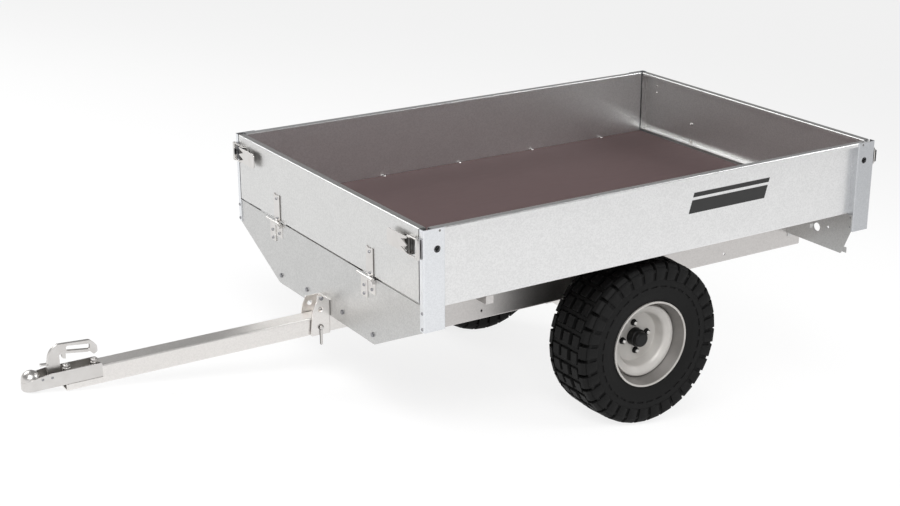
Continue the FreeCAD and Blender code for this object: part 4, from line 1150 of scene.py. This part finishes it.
# ---------------------------------------------------------------- coupling
@dataclass
class Coupling:
    """Pressed ball coupling: channel with a round nose, domed cup, and the nuts that hold it down."""

    half: float = 0.0299
    wall: float = 0.0035
    bottom: float = 0.3510
    top: float = 0.3960
    dome: float = 0.0287
    cup: float = 0.0254
    base_round: float = 0.0025
    bolts_behind_ball: tuple[float, float] = (0.196, 0.110)
    nut_seat: float = 0.3915
    side_rivets_x: tuple[float, float] = (1.8266, 1.7981)
    side_rivets_z: float = 0.3832
    # The walls' top line falls from behind the ball to above it, and on to the nose.
    fall_behind: float = 0.054
    knee_ahead: float = 0.008
    knee_top: float = 0.3870
    nose_top: float = 0.3765
    nose_set_back: float = 0.0008
    hole_play: float = 0.0006
    lever_half: float = 0.0060
    lever_sheet: float = 0.0030
    # The lever's outlines, ahead of the ball's middle and above it.
    cheek: Outline = (
        (-0.090, -0.024), (-0.054, -0.024), (-0.0505, 0.030, 0.060), (-0.058, 0.074, 0.040),
        (-0.084, 0.0925, 0.018), (-0.186, 0.086, 0.016), (-0.206, 0.066, 0.014), (-0.206, 0.046, 0.006),
        (-0.194, 0.039, 0.005), (-0.182, 0.052, 0.006), (-0.174, 0.0505, 0.004), (-0.109, 0.0600),
        (-0.109, 0.044), (-0.099, 0.046), (-0.096, 0.064, 0.003), (-0.089, 0.058, 0.004))
    slot: Outline = (
        (-0.184, 0.0575, 0.0060), (-0.111, 0.0675, 0.0060), (-0.111, 0.0835, 0.0060),
        (-0.184, 0.0750, 0.0060))
    back_strip: Outline = (
        (-0.054, -0.022), (-0.0507, 0.030, 0.060), (-0.0583, 0.0738, 0.040), (-0.0842, 0.0922, 0.018),
        (-0.1858, 0.0857, 0.016), (-0.2055, 0.0655, 0.012), (-0.2020, 0.0640, 0.010),
        (-0.1850, 0.0827, 0.013), (-0.0850, 0.0892, 0.015), (-0.0610, 0.0720, 0.037),
        (-0.0537, 0.030, 0.057), (-0.057, -0.022))
    pointer: Outline = (
        (-0.056, 0.034), (-0.030, 0.036, 0.002), (-0.030, 0.041, 0.002), (-0.054, 0.039))

    def ball(self) -> Vector:
        """Middle of the ball."""
        return PARKING.level @ Vector(mount("ball_socket")["pos_m"])

    def build(self, bench: Bench) -> None:
        """Makes the coupling's pieces.

        Args:
            bench: finishes and places the meshes.
        """
        palette = bench.palette
        bench.place(self.channel(), "coupling_pressing", Body.CHASSIS,
                    (palette.plate, palette.grey_painted_shade), "zinc_plate", ("coupling_body",),
                    PRESSED_CREASE)
        bench.place(self.nuts(), "coupling_nuts_and_sleeves", Body.CHASSIS, (palette.plate,),
                    "zinc_plate", ("coupling_bolts",))
        bench.place(self.handle(), "coupling_hand_lever", Body.CHASSIS,
                    (palette.plate, palette.grey_painted_shade), "zinc_plate", ("coupling_handle",))
        side = FastenerRow("coupling_side_rivets", Body.CHASSIS, Head.RIVET, 0.009, 0.002)
        for way in (1, -1):
            for x in self.side_rivets_x:
                side.add(x, way * self.half, self.side_rivets_z, (0, way, 0))
        side.build(bench, palette.dull_zinc)

    def channel(self) -> Mesh:
        """Open channel with bent-up walls, sloping down round the nose, and the cup's dome in it.

        Returns:
            The new mesh.
        """
        ball, room = self.ball(), LevelBox("coupling_body")
        rear, front = room.low.x, room.high.x - self.nose_set_back
        nose = self.half - 0.0004
        bm = plate([(rear, -self.half), (front, -self.half, nose), (front, self.half, nose),
                    (rear, self.half)], lambda x, y: Vector((x, y, self.bottom)),
                   Vector((0, 0, self.top - self.bottom)))
        line = [(ball.x - self.fall_behind, 0, self.top), (ball.x + self.knee_ahead, 0, self.knee_top),
                (front, 0, self.nose_top)]
        for first, last in zip(line, line[1:]):
            fall = Vector(last) - Vector(first)
            bmesh.ops.bisect_plane(bm, geom=all_of(bm), dist=1e-6, plane_co=first,
                                   plane_no=Vector((-fall.z, 0, fall.x)), clear_outer=True)
        bm.normal_update()
        tops = [f for f in bm.faces if f.normal.z > 0.3]
        bmesh.ops.delete(bm, geom=tops, context="FACES_ONLY")
        floor = min(bm.faces, key=lambda f: f.calc_center_median().z)
        foot = [e for e in rim_of(floor) if not all(abs(v.co.x - rear) < 1e-5 for v in e.verts)]
        bmesh.ops.delete(bm, geom=[f for f in bm.faces if f.normal.x < -0.9], context="FACES_ONLY")
        bevel(bm, foot, self.base_round, 3)
        bm.normal_update()
        floor = min(bm.faces, key=lambda f: f.calc_center_median().z - f.calc_area())
        hole = bmesh.ops.create_circle(bm, cap_ends=False, radius=self.cup + self.hole_play, segments=40,
                                       matrix=Matrix.Translation((ball.x, 0, self.bottom)))["verts"]
        ring = {e for v in hole for e in v.link_edges}
        border = rim_of(floor)
        bmesh.ops.delete(bm, geom=[floor], context="FACES_ONLY")
        bmesh.ops.triangle_fill(bm, use_beauty=True, use_dissolve=False, edges=border + list(ring))
        bmesh.ops.recalc_face_normals(bm, faces=bm.faces)
        bm.normal_update()
        if min(bm.faces, key=lambda f: f.calc_center_median().z).normal.z > 0:
            bmesh.ops.reverse_faces(bm, faces=bm.faces[:])
        bmesh.ops.solidify(bm, geom=bm.faces[:], thickness=self.wall)
        join(bm, self.cup_dome(ball))
        return bm

    def handle(self) -> Mesh:
        """Lever that curls up from the channel: two pierced cheeks, a back strip and a pointer.

        Returns:
            The new mesh.
        """
        ball, half, sheet = self.ball(), self.lever_half, self.lever_sheet
        bm = bmesh.new()
        for low in (-half, half - sheet):
            join(bm, pierced_plate(self.cheek, [self.slot], plane_y(low, ball), Vector((0, sheet, 0))))
        join(bm, plate(self.back_strip, plane_y(-half + sheet, ball),
                       Vector((0, 2 * (half - sheet), 0))))
        join(bm, plate(self.pointer, plane_y(-half, ball), Vector((0, 2 * half, 0)), 0.0008))
        return bm

    def cup_dome(self, ball: Vector) -> Mesh:
        """Hollow dome over the ball with a straight skirt under it.

        Args:
            ball: middle of the ball.

        Returns:
            The new mesh.
        """
        low = self.bottom - ball.z
        bm = turned([
            (self.dome, 0.0), (self.dome, self.dome, self.dome - 0.0004), (low + 0.0060, self.dome),
            (low + 0.0005, self.dome - 0.0014), (low, self.cup + 0.0010),
            (self.cup, self.cup + 0.0004, self.cup - 0.0004), (self.cup, 0.0)], 48, 8)
        bmesh.ops.rotate(bm, cent=(0, 0, 0), matrix=Matrix.Rotation(math.pi / 2, 3, "X"), verts=bm.verts)
        bmesh.ops.translate(bm, vec=ball, verts=bm.verts)
        return bm

    def nuts(self) -> Mesh:
        """Spacer sleeves with washers and nuts on them, and the bolts' heads under the drawbar.

        Returns:
            The new mesh.
        """
        bm = bmesh.new()
        under = LevelBox("coupling_bolts").low.z
        bottom, seat = self.bottom, self.nut_seat
        for back in self.bolts_behind_ball:
            axis = Vector((self.ball().x - back, 0, 0))
            for low, high, radius, sides, edge, segments in (
                    (bottom, seat, 0.0105, 24, 0.0, 1),
                    (seat, seat + 0.0025, 0.0125, 28, 0.0006, 1),
                    (seat, seat + 0.0120, 0.0115, 6, 0.0022, 2),
                    (seat, seat + 0.0150, 0.0058, 16, 0.0010, 1),
                    (under, bottom, 0.0060, 16, 0.0, 1)):
                join(bm, rod(axis + Vector((0, 0, low)), axis + Vector((0, 0, high)), radius, sides,
                             edge=edge, segments=segments))
        return bm


@dataclass
class LockPin:
    """Round pin in the bracket's left ear, with the flat grip that hangs from its end."""

    pin: float = 0.0068
    grip_width: float = 0.0090
    grip_round: float = 0.0040
    thickness: float = 0.0040
    axis_down: float = 0.0080
    grip_in: float = 0.0045
    ring: Outline = (
        (-0.0040, 0.0066), (0.0012, 0.0066), (0.0012, 0.0088, 0.0004), (-0.0040, 0.0088))

    def build(self, bench: Bench) -> None:
        """Makes the pin, its dark ring and the grip.

        Args:
            bench: finishes and places the meshes.
        """
        room = LevelBox("lock_pin")
        x = room.middle.x
        top = room.high.z - self.axis_down
        face = room.high.y - self.grip_in
        bm = rod(Vector((x, room.low.y, top)), Vector((x, room.high.y, top)), self.pin, 28, edge=0.0016,
                 segments=2)
        half, low, high = self.grip_width / 2, room.low.z, top + self.grip_width / 2
        corners = [(u, v, self.grip_round) for u, v in (
            (x - half, low), (x + half, low), (x + half, high), (x - half, high))]
        # The grip's sides and the ring round the pin are in the dark grey that the latches use as painted shade.
        join(bm, plate(corners, plane_y(face - self.thickness), Vector((0, self.thickness, 0)),
                       0.0008, 1))
        join(bm, turned(self.ring, 32, place=Vector((x, face - 0.0002, top))), 1)
        palette = bench.palette
        bench.place(bm, "lock_pin_and_grip", Body.BED, (palette.plate, palette.dark_painted_shade), "zinc_plate",
                    ("lock_pin",))


# ---------------------------------------------------------------- gates' fittings
GATE_SHEET = 0.0025  # sheet of the gates, which the fasteners' tails come through


@dataclass
class HingeStraps:
    """Straps on one gate: eared plate with its sides in painted shade grey, folded foot, knuckle and long hinge
    pin.
    """

    end: End
    width: float = 0.0420
    sheet: float = 0.0030
    ear: float = 0.0030
    ear_top: float = 0.0080
    ear_foot: float = 0.0100
    pin: float = 0.0035
    knuckle: float = 0.0065
    knuckle_bore: float = 0.0030
    knuckle_ends: tuple[float, float] = (-0.002, 0.012)
    pin_out: float = 0.0080
    tail: float = 0.0700
    head: float = 0.0300
    bolts_down: tuple[float, float] = (0.0150, 0.0840)

    def build(self, bench: Bench) -> None:
        """Makes both straps and their bolts.

        Args:
            bench: finishes and places the meshes.
        """
        gate, word, sign = self.end.gate, self.end.word, self.end.value
        node = f"{gate.value}_straps"
        room = LevelBox(node)
        face = LevelBox(gate.value).end(self.end)
        pin_x = face + sign * self.pin_out
        pin_z = room.low.z + self.knuckle
        top = room.high.z
        middle = room.high.y - self.head
        bm = bmesh.new()
        bolts = FastenerRow(f"{word}_strap_bolts", gate, Head.RIVET, 0.011, 0.004)
        nuts = FastenerRow(f"{word}_strap_nuts", gate, Head.NUT, 0.011, 0.005)
        half, foot = self.width / 2, pin_z + self.knuckle + 0.002
        for side in Side:
            y = side.value * middle
            # The strap's sides take the grey painted shade, for the dark band beside each strap.
            join(bm, plate([
                (y - half, foot), (y + half, foot), (y + half, top, 0.002),
                (y + half - self.ear_top, top), (y + half - self.ear_foot, top - self.ear),
                (y - half + self.ear_foot, top - self.ear), (y - half + self.ear_top, top),
                (y - half, top, 0.002)],
                plane_x(face), Vector((sign * self.sheet, 0, 0)), 0.0, 1))
            low, high = sorted((face + sign * 0.0008, pin_x + sign * 0.0015))
            near, far = self.knuckle_ends
            join(bm, box((low, y + near, pin_z + 0.002), (high, y + far, foot + 0.005), 0.0008))
            join(bm, turned([
                (near, self.knuckle_bore), (near, self.knuckle, 0.0008), (far, self.knuckle, 0.0008),
                (far, self.knuckle_bore)], 24, place=Vector((pin_x, y, pin_z))))
            join(bm, rod(Vector((pin_x, y - self.tail, pin_z)), Vector((pin_x, y + self.head, pin_z)),
                         self.pin, 16, edge=0.0006))
            for down in self.bolts_down:
                z = max(top - down, foot + 0.006)
                bolts.add(face + sign * self.sheet, y, z, (sign, 0, 0))
                nuts.add(face - sign * GATE_SHEET, y, z, (-sign, 0, 0))
        palette = bench.palette
        bench.place(bm, f"{word}_strap_pressings", gate, (palette.plate, palette.grey_painted_shade),
                    "zinc_plate", (node,))
        bolts.build(bench, palette.dull_zinc)
        nuts.build(bench, palette.plate)


@dataclass
class HingeLeafBolts:
    """Bolts that hold the hinges' leaves on the fixed panels."""

    end: End
    beside: float = -0.043
    heights: tuple[float, float] = (0.568, 0.540)
    strap_in: float = 0.030

    def build(self, bench: Bench) -> None:
        """Makes the bolts of both leaves.

        Args:
            bench: finishes and places the meshes.
        """
        sign = self.end.value
        panel = LevelBox(f"{self.end.word}_panel").end(self.end)
        strap = LevelBox("front_gate_straps").high.y - self.strap_in
        row = FastenerRow(f"{self.end.word}_leaf_bolts", Body.BED, Head.RIVET, 0.012, 0.004)
        for side in Side:
            y = side.value * strap
            for z in self.heights:
                row.add(panel + sign * 0.003, y + self.beside, z, (sign, 0, 0))
            row.add(panel + sign * 0.001, y + 0.003, 0.566, (sign, 0, 0))
        row.build(bench, bench.palette.dull_zinc)


@dataclass
class GateLatches:
    """Draw latches on one gate: base, toothed cheeks, sprung lever, pivot pin and wire loop."""

    end: End
    sheet: float = 0.0030
    standoff: float = 0.0150
    bar: float = 0.0030
    bar_out: float = 0.0110
    raised: float = 0.0120
    tooth: float = 0.0320
    lever: float = 0.1150
    half: float = 0.0250
    loop_half: float = 0.0290
    loop_bend: float = 0.0090
    # How far in from the gate's side these lie: the base's two ends, the lever, its pivot, the rivets.
    base_in: float = 0.020
    far_in: float = 0.082
    lever_in: float = 0.036
    pivot_in: float = 0.032
    rivets_in: float = 0.068
    rivets_apart: float = 0.013
    catch_in: tuple[float, float] = (0.0170, 0.0020)
    lug_half: float = 0.0110

    def build(self, bench: Bench) -> None:
        """Makes both latches of the gate, and the catch plates that their loops hook over.

        Args:
            bench: finishes and places the meshes.
        """
        gate, word, sign = self.end.gate, self.end.word, self.end.value
        node = f"{gate.value}_latches"
        room, panel = LevelBox(node), LevelBox(gate.value)
        face, half_gate = panel.end(self.end), panel.high.y
        z = room.middle.z + self.raised
        bm = bmesh.new()
        rivets = FastenerRow(f"{word}_latch_rivets", gate, Head.RIVET, 0.010, 0.003)
        tails = FastenerRow(f"{word}_latch_rivet_tails", gate, Head.RIVET, 0.009, 0.003)
        for side in Side:
            latch = self.latch(face, half_gate, z, room.high.y)
            if side is Side.RIGHT:
                mirrored(latch)
            join(bm, latch)
            y = side.value * (half_gate - self.rivets_in)
            for up in (-self.rivets_apart, self.rivets_apart):
                rivets.add(face + sign * self.sheet, y, z + up, (sign, 0, 0))
                tails.add(face - sign * GATE_SHEET, y, z + up, (-sign, 0, 0))
        palette = bench.palette
        bench.place(bm, f"{word}_draw_latches", gate, (palette.plate, palette.dark_painted_shade, palette.black),
                    "zinc_plate", (node,))
        bench.place(self.catches(z), f"{word}_catch_plates", Body.BED, (palette.dull_zinc,),
                    "zinc_plate", (f"{word}_latch_catches",))
        rivets.build(bench, palette.plate)
        tails.build(bench, palette.plate)

    def catches(self, z: float) -> Mesh:
        """Catch plates on the posts, each with a lug inside its latch's loop.

        Args:
            z: height of the latches' middles.

        Returns:
            The new mesh.
        """
        room = LevelBox(f"{self.end.word}_latch_catches")
        sign = self.end.value
        depth = room.high.x - room.low.x
        face = room.end(self.end) - sign * depth
        half = (room.high.z - room.low.z) / 2
        inner, outer = (room.high.y - inset for inset in self.catch_in)
        near, far = sorted((face, face + sign * depth))
        bm = bmesh.new()
        for way in (1, -1):
            corners = [(way * u, v, 0.003) for u, v in (
                (inner, z - half), (outer, z - half), (outer, z + half), (inner, z + half))]
            join(bm, plate(corners, plane_x(face), Vector((sign * self.sheet, 0, 0)), 0.0006))
            low, high = sorted((way * inner, way * (inner + self.sheet)))
            join(bm, box((near, low, z - self.lug_half), (far, high, z + self.lug_half), 0.0006))
        return bm

    def latch(self, face: float, half_gate: float, z: float, reach: float) -> Mesh:
        """The left side's latch.

        Args:
            face: x of the gate's outer face.
            half_gate: y of the gate's side.
            z: height of the latch's middle.
            reach: y of the loop's far side.

        Returns:
            The new mesh.
        """
        sign, tall, sheet = self.end.value, self.half, self.sheet
        out = Vector((sign, 0, 0))
        low, high = z - tall, z + tall
        base_end, lever_end = half_gate - self.base_in, half_gate - self.lever_in
        pivot, inner, tail = half_gate - self.pivot_in, half_gate - self.far_in, lever_end - self.lever
        bm = plate([(inner, low, 0.004), (base_end, low, 0.003), (base_end, high, 0.003),
                    (inner, high, 0.004)], plane_x(face), out * sheet, 0.0006, 1)
        cheek = [(0.002, lever_end - 0.022), (0.002, base_end - 0.002), (0.010, base_end - 0.002, 0.003),
                 (0.0145, base_end - 0.009, 0.003), (self.standoff + 0.001, lever_end - 0.002),
                 (0.0110, lever_end - 0.006), (self.standoff, lever_end - 0.010)]
        for foot in (low, high - sheet):
            join(bm, plate(cheek, lambda u, v: Vector((face + sign * u, v, foot)),
                           Vector((0, 0, sheet)), 0.0, 1))
        # The plate under the lever's notches is dark painted shade for the hollow there; the base's and cheeks'
        # sides and the pivot pin take the same dark grey.
        join(bm, plate([
            (lever_end - 0.036, low + 0.001), (base_end - 0.001, low + 0.001),
            (base_end - 0.001, high - 0.001), (lever_end - 0.036, high - 0.001)],
            plane_x(face), out * (sheet + 0.0006)), 1)
        notch = lever_end - self.tooth
        join(bm, plate([
            (tail, low, 0.012), (lever_end, low), (lever_end, low + 0.003), (notch, z - 0.0120),
            (lever_end, z - 0.0015), (lever_end, z + 0.0015), (notch, z + 0.0120),
            (lever_end, high - 0.003), (lever_end, high), (tail, high, 0.012)],
            plane_x(face + sign * self.standoff), out * sheet))
        middle = Vector((face + sign * self.bar_out, pivot, z))
        reach_up = Vector((0, 0, tall - 0.001))
        join(bm, rod(middle - reach_up, middle + reach_up, 0.0035, 14), 1)
        join(bm, self.loop(middle, reach - self.bar))
        join(bm, *self.hook_over(face, z, reach - self.bar))
        return bm

    def loop(self, pivot: Vector, far: float) -> Mesh:
        """Wire loop from the pivot pin round the catch's lug and back.

        Args:
            pivot: middle of the pivot pin.
            far: y of the wire's far run.

        Returns:
            The new mesh.
        """
        bend, half = self.loop_bend, self.loop_half
        straight, up = far - bend - pivot.y, Vector((0, 0, 2 * (half - bend)))
        corner = Vector((pivot.x, far - bend, pivot.z - half + bend))
        wire = BentBar(self.bar).start(pivot + Vector((0, 0, -half)), Vector((0, 1, 0)))
        wire.run(Vector((0, straight, 0))).bend(corner, Vector((1, 0, 0)), math.pi / 2, 5)
        wire.run(up).bend(corner + up, Vector((1, 0, 0)), math.pi / 2, 5)
        return wire.run(Vector((0, pivot.y - far + bend, 0))).finish()

    def hook_over(self, face: float, z: float, far: float) -> tuple[Mesh, int]:
        """Broad end of the loop and its material number: bright on the front gate, deeper on the tailgate and
        painted black there as shade.

        Args:
            face: x of the gate's outer face.
            z: height of the latch's middle.
            far: y of the wire's far run.

        Returns:
            The new mesh and its material number.
        """
        sign, front = self.end.value, self.end is End.FRONT
        near, wide = sorted((face + sign * 0.0050, face + sign * (0.0165 if front else 0.0215)))
        tip = self.loop_half + self.bar if front else 0.0210
        return box((near, far - 0.0110, z - tip), (wide, far + self.bar - 0.0010, z + tip), 0.0030, 2), (
            0 if front else 2)


# ---------------------------------------------------------------- bed's rivets, screws and films
@dataclass
class BedFasteners:
    """Rivets of the posts and gussets, floor screws of the sides, and the frame's bolts."""

    half_width: float = 0.6250
    flush: float = 0.00005
    post_rivets: tuple[float, float] = (0.587, 0.538)
    post_row: float = 0.6150
    flush_rivet: tuple[float, float] = (0.0550, 0.833)
    gusset_x: float = -0.8230
    gusset_rivets: tuple[float, float] = (0.5775, 0.5440)
    floor_screws: tuple[float, ...] = (0.640, 0.318, -0.008, -0.340, -0.672)
    screw_row: float = 0.5900
    panel_bolts: tuple[tuple[float, float], ...] = (
        (-0.309, 0.417), (-0.121, 0.426), (0.121, 0.427), (0.316, 0.418))
    stop_bolt: tuple[float, float] = (0.9140, 0.4530)
    hole_in: float = 0.0460
    hole_down: float = 0.0620
    ring: tuple[float, float] = (0.0082, 0.0108)

    def build(self, bench: Bench) -> None:
        """Makes each row of like fasteners.

        Args:
            bench: finishes and places the meshes.
        """
        palette = bench.palette
        floor = LevelBox("floor_board").high.z
        rivets = FastenerRow("post_rivets", Body.BED, Head.RIVET, 0.012, 0.003)
        flush = FastenerRow("post_flush_rivets", Body.BED, Head.RIVET, 0.014, self.flush)
        screws = FastenerRow("floor_screws", Body.BED, Head.RIVET, 0.011, 0.0025)
        bolts = FastenerRow("front_panel_bolts", Body.BED, Head.BOLT, 0.013, 0.005)
        gusset = FastenerRow("gusset_rivets", Body.BED, Head.RIVET, 0.010, 0.003)
        stop = FastenerRow("lock_bracket_stop_bolt", Body.BED, Head.BOLT, 0.012, 0.003)
        for side in Side:
            way = side.value
            for end in End:
                face = LevelBox(f"corner_post_{end.word}_{side.word}").end(end)
                for z in self.post_rivets:
                    rivets.add(face, way * self.post_row, z, (end.value, 0, 0))
                inset, z = self.flush_rivet
                flush.add(face - end.value * inset, way * self.half_width, z, (0, way, 0))
            for x in self.floor_screws:
                screws.add(x, way * self.screw_row, floor, (0, 0, 1))
            for z in self.gusset_rivets:
                gusset.add(self.gusset_x, way * self.post_row, z, (1, 0, 0))
        stop.add(self.stop_bolt[0], LevelBox("lock_bracket").high.y, self.stop_bolt[1], (0, 1, 0))
        panel = LevelBox("front_panel").high.x
        for y, z in self.panel_bolts:
            bolts.add(panel, y, z, (1, 0, 0))
        # The flush rivets are discs in the grey painted shade, for the shade of their sunk heads.
        for row, finish in ((stop, palette.dull_zinc), (rivets, palette.dull_zinc),
                            (gusset, palette.dull_zinc), (bolts, palette.dull_zinc),
                            (flush, palette.grey_painted_shade), (screws, palette.plate)):
            row.build(bench, finish)
        bench.place(self.post_hole_rings(), "post_hole_rings", Body.BED, (palette.black,), "black_paint")

    def post_hole_rings(self) -> Mesh:
        """Thin black rings round the holes in the posts' side faces.

        Returns:
            The new mesh.
        """
        bm = bmesh.new()
        inner, outer = self.ring
        for end in End:
            for side in Side:
                post = LevelBox(f"corner_post_{end.word}_{side.word}")
                low, high = sorted((side.value * self.half_width,
                                    side.value * (self.half_width + self.flush)))
                join(bm, turned([(low, inner), (high, inner), (high, outer), (low, outer)], 32,
                                place=Vector((post.end(end) - end.value * self.hole_in, 0.0,
                                              post.high.z - self.hole_down))))
        return bm


@dataclass
class StripeFilms:
    """Two slanted black stripes, thin over thick, on each side of the bed."""

    lean: float = 0.29
    film: float = 0.0004
    corner: float = 0.0008
    stripes: tuple[tuple[float, float], ...] = ((0.7778, 0.7630), (0.7535, 0.7103))
    face: float = 0.6000
    front: float = -0.1306
    rear: float = -0.4495

    def build(self, bench: Bench) -> None:
        """Makes both sides' stripes.

        Args:
            bench: finishes and places the meshes.
        """
        top = self.stripes[0][0]
        for side in Side:
            bm = bmesh.new()
            for high, low in self.stripes:
                corners = [(start + (top - z) * self.lean, z, self.corner) for start, z in (
                    (self.front, high), (self.rear, high), (self.rear, low), (self.front, low))]
                join(bm, plate(corners, plane_y(side.value * self.face),
                               Vector((0, side.value * self.film, 0))))
            bench.place(bm, f"stripe_films_{side.word}", Body.BED, (bench.palette.film,), "black_paint")


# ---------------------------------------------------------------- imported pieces
@dataclass
class PackedPieces:
    """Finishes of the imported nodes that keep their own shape."""

    palette: Palette

    def dress(self) -> None:
        """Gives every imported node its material, by the longest start of its name."""
        palette = self.palette
        groups: dict[bpy.types.Material, tuple[str, ...]] = {
            palette.sheet: ("side_panel",),
            palette.gate: ("front_gate", "tailgate"),
            palette.post: ("corner_post",),
            palette.dull_post: ("corner_post_rear",),
            palette.panel: ("front_panel", "rear_panel", "rear_gusset"),
            palette.frame_steel: ("drawbar", "axle", "stub", "pivot", "lock_bracket"),
            palette.beam_steel_painted_shade: ("beam", "crossbars", "outriggers"),
            palette.plate: (
                "coupling", "lock_pin", "front_hinge", "rear_hinge", "front_latch", "rear_latch",
                "front_gate_straps", "front_gate_latches", "tailgate_straps", "tailgate_latches",
                "pivot_bolt"),
            palette.plywood: ("floor_board",),
            palette.rubber: ("tyre",),
            palette.rim: ("rim",),
            palette.black: ("hub",),
        }
        for name, piece in frame["nodes"].items():
            fitting = [(len(start), material) for material, starts in groups.items()
                       for start in starts if name.startswith(start)]
            longest = max(fitting, key=lambda pair: pair[0], default=(0, palette.sheet))
            piece.data.materials.clear()
            piece.data.materials.append(longest[1])


# ---------------------------------------------------------------- studio
@dataclass
class Studio:
    """Camera, pale floor, grey-white surroundings and soft lamps."""

    camera_place: tuple[float, float, float] = (3.09471, 4.29736, 2.28695)
    yaw: float = 4.15335
    pitch: float = -0.339131
    roll: float = -0.002095
    lens_mm: float = 64.153
    floor_half: float = 60.0
    floor_drop: float = 0.0005
    floor_paint: float = 0.8
    floor_faint: float = 0.22
    floor_glow: float = 0.82
    sky: tuple[tuple[float, float], ...] = ((0.0, 0.74), (0.12, 0.46), (0.35, 0.24), (1.0, 0.22))
    aim: tuple[float, float, float] = (-0.3, 0.0, 0.5)
    # Name, place, width in metres and power in watts of each lamp.
    lamps: tuple[tuple[str, tuple[float, float, float], float, float], ...] = (
        ("key_softbox", (4.0, 4.5, 5.5), 4.0, 420.0), ("fill_softbox", (3.5, -5.0, 4.5), 4.0, 200.0),
        ("rim_softbox", (-5.0, 2.0, 5.0), 3.0, 160.0))

    def camera(self) -> None:
        """Adds the camera, placed on the level trailer and pitched with it."""
        ahead = Vector((math.cos(self.pitch) * math.cos(self.yaw),
                        math.cos(self.pitch) * math.sin(self.yaw), math.sin(self.pitch)))
        right = ahead.cross(Vector((0, 0, 1))).normalized()
        up = right.cross(ahead)
        across = right * math.cos(self.roll) + up * math.sin(self.roll)
        above = -right * math.sin(self.roll) + up * math.cos(self.roll)
        turn = Matrix((across, above, -ahead)).transposed().to_4x4()
        lens = bpy.data.cameras.new("camera")
        lens.sensor_width = 36.0
        lens.lens = self.lens_mm
        lens.clip_end = 200.0
        eye = bpy.data.objects.new("camera", lens)
        eye.matrix_world = PARKING.matrix @ Matrix.Translation(self.camera_place) @ turn
        bpy.context.scene.collection.objects.link(eye)
        bpy.context.scene.camera = eye

    def floor(self) -> None:
        """Adds the pale floor, which keeps the trailer's soft shadow."""
        bm = bmesh.new()
        bmesh.ops.create_grid(bm, x_segments=1, y_segments=1, size=self.floor_half)
        mesh = bpy.data.meshes.new("studio_floor")
        bm.to_mesh(mesh)
        bm.free()
        ground = bpy.data.objects.new("studio_floor", mesh)
        ground.location.z = -self.floor_drop
        bpy.context.scene.collection.objects.link(ground)
        mesh.materials.append(self.floor_material())

    def floor_material(self) -> bpy.types.Material:
        """Pale floor: white to the eye and in reflections, pale paint for the light it gives back.

        Returns:
            The new material.
        """
        material = bpy.data.materials.new("studio_floor")
        material.use_nodes = True
        tree = material.node_tree
        tree.nodes.clear()
        path = add_node(tree, "ShaderNodeLightPath")
        seen = path.outputs["Is Camera Ray"]
        for ray in ("Is Glossy Ray", "Is Transmission Ray"):
            seen = add_node(tree, "ShaderNodeMath", {"operation": "MAXIMUM"},
                            {0: seen, 1: path.outputs[ray]}).outputs[0]
        paint = add_node(tree, "ShaderNodeBsdfDiffuse", inputs={"Color": grey(self.floor_paint)})
        faint = add_node(tree, "ShaderNodeBsdfDiffuse", inputs={"Color": grey(self.floor_faint)})
        glow = add_node(tree, "ShaderNodeEmission",
                        inputs={"Color": grey(1.0), "Strength": self.floor_glow})
        white = add_node(tree, "ShaderNodeAddShader", inputs={0: faint.outputs[0], 1: glow.outputs[0]})
        mix = add_node(tree, "ShaderNodeMixShader",
                       inputs={0: seen, 1: paint.outputs[0], 2: white.outputs[0]})
        add_node(tree, "ShaderNodeOutputMaterial", inputs={"Surface": mix.outputs[0]})
        return material

    def surroundings(self) -> None:
        """Studio walls and ceiling: pale at the horizon, a softer grey overhead."""
        world = bpy.data.worlds.new("studio")
        world.use_nodes = True
        tree = world.node_tree
        tree.nodes.clear()
        direction = add_node(tree, "ShaderNodeTexCoord").outputs["Generated"]
        parts = add_node(tree, "ShaderNodeSeparateXYZ", inputs={"Vector": direction})
        ramp = add_node(tree, "ShaderNodeValToRGB", inputs={"Fac": parts.outputs["Z"]})
        set_ramp(ramp, [(height, grey(tone)) for height, tone in self.sky])
        light = add_node(tree, "ShaderNodeBackground", inputs={"Color": ramp.outputs["Color"]})
        add_node(tree, "ShaderNodeOutputWorld", inputs={"Surface": light.outputs[0]})
        bpy.context.scene.world = world

    def lamp(self, name: str, place: tuple[float, float, float], size: float, watts: float) -> None:
        """Adds a square soft lamp aimed at the bed.

        Args:
            name: name of the lamp.
            place: where it hangs.
            size: width in metres.
            watts: its power.
        """
        light = bpy.data.lights.new(name, "AREA")
        light.shape = "SQUARE"
        light.size = size
        light.energy = watts
        lamp = bpy.data.objects.new(name, light)
        lamp.location = place
        ahead = Vector(self.aim) - Vector(place)
        lamp.rotation_euler = ahead.to_track_quat("-Z", "Y").to_euler()
        bpy.context.scene.collection.objects.link(lamp)

    def build(self) -> None:
        """Sets up the whole studio."""
        self.camera()
        self.floor()
        self.surroundings()
        for lamp in self.lamps:
            self.lamp(*lamp)
        bpy.context.scene.view_settings.view_transform = "Standard"


def main() -> None:
    """Builds the studio and every piece of the trailer in order."""
    logging.basicConfig(level=logging.INFO, format="%(message)s")
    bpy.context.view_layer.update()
    Studio().build()
    palette = Palette()
    PackedPieces(palette).dress()
    bench = Bench(palette)
    for side in Side:
        Wheel(side).build(bench)
    Coupling().build(bench)
    LockPin().build(bench)
    for end in End:
        HingeStraps(end).build(bench)
        HingeLeafBolts(end).build(bench)
        GateLatches(end).build(bench)
    BedFasteners().build(bench)
    StripeFilms().build(bench)


if __name__ == "__main__":
    main()
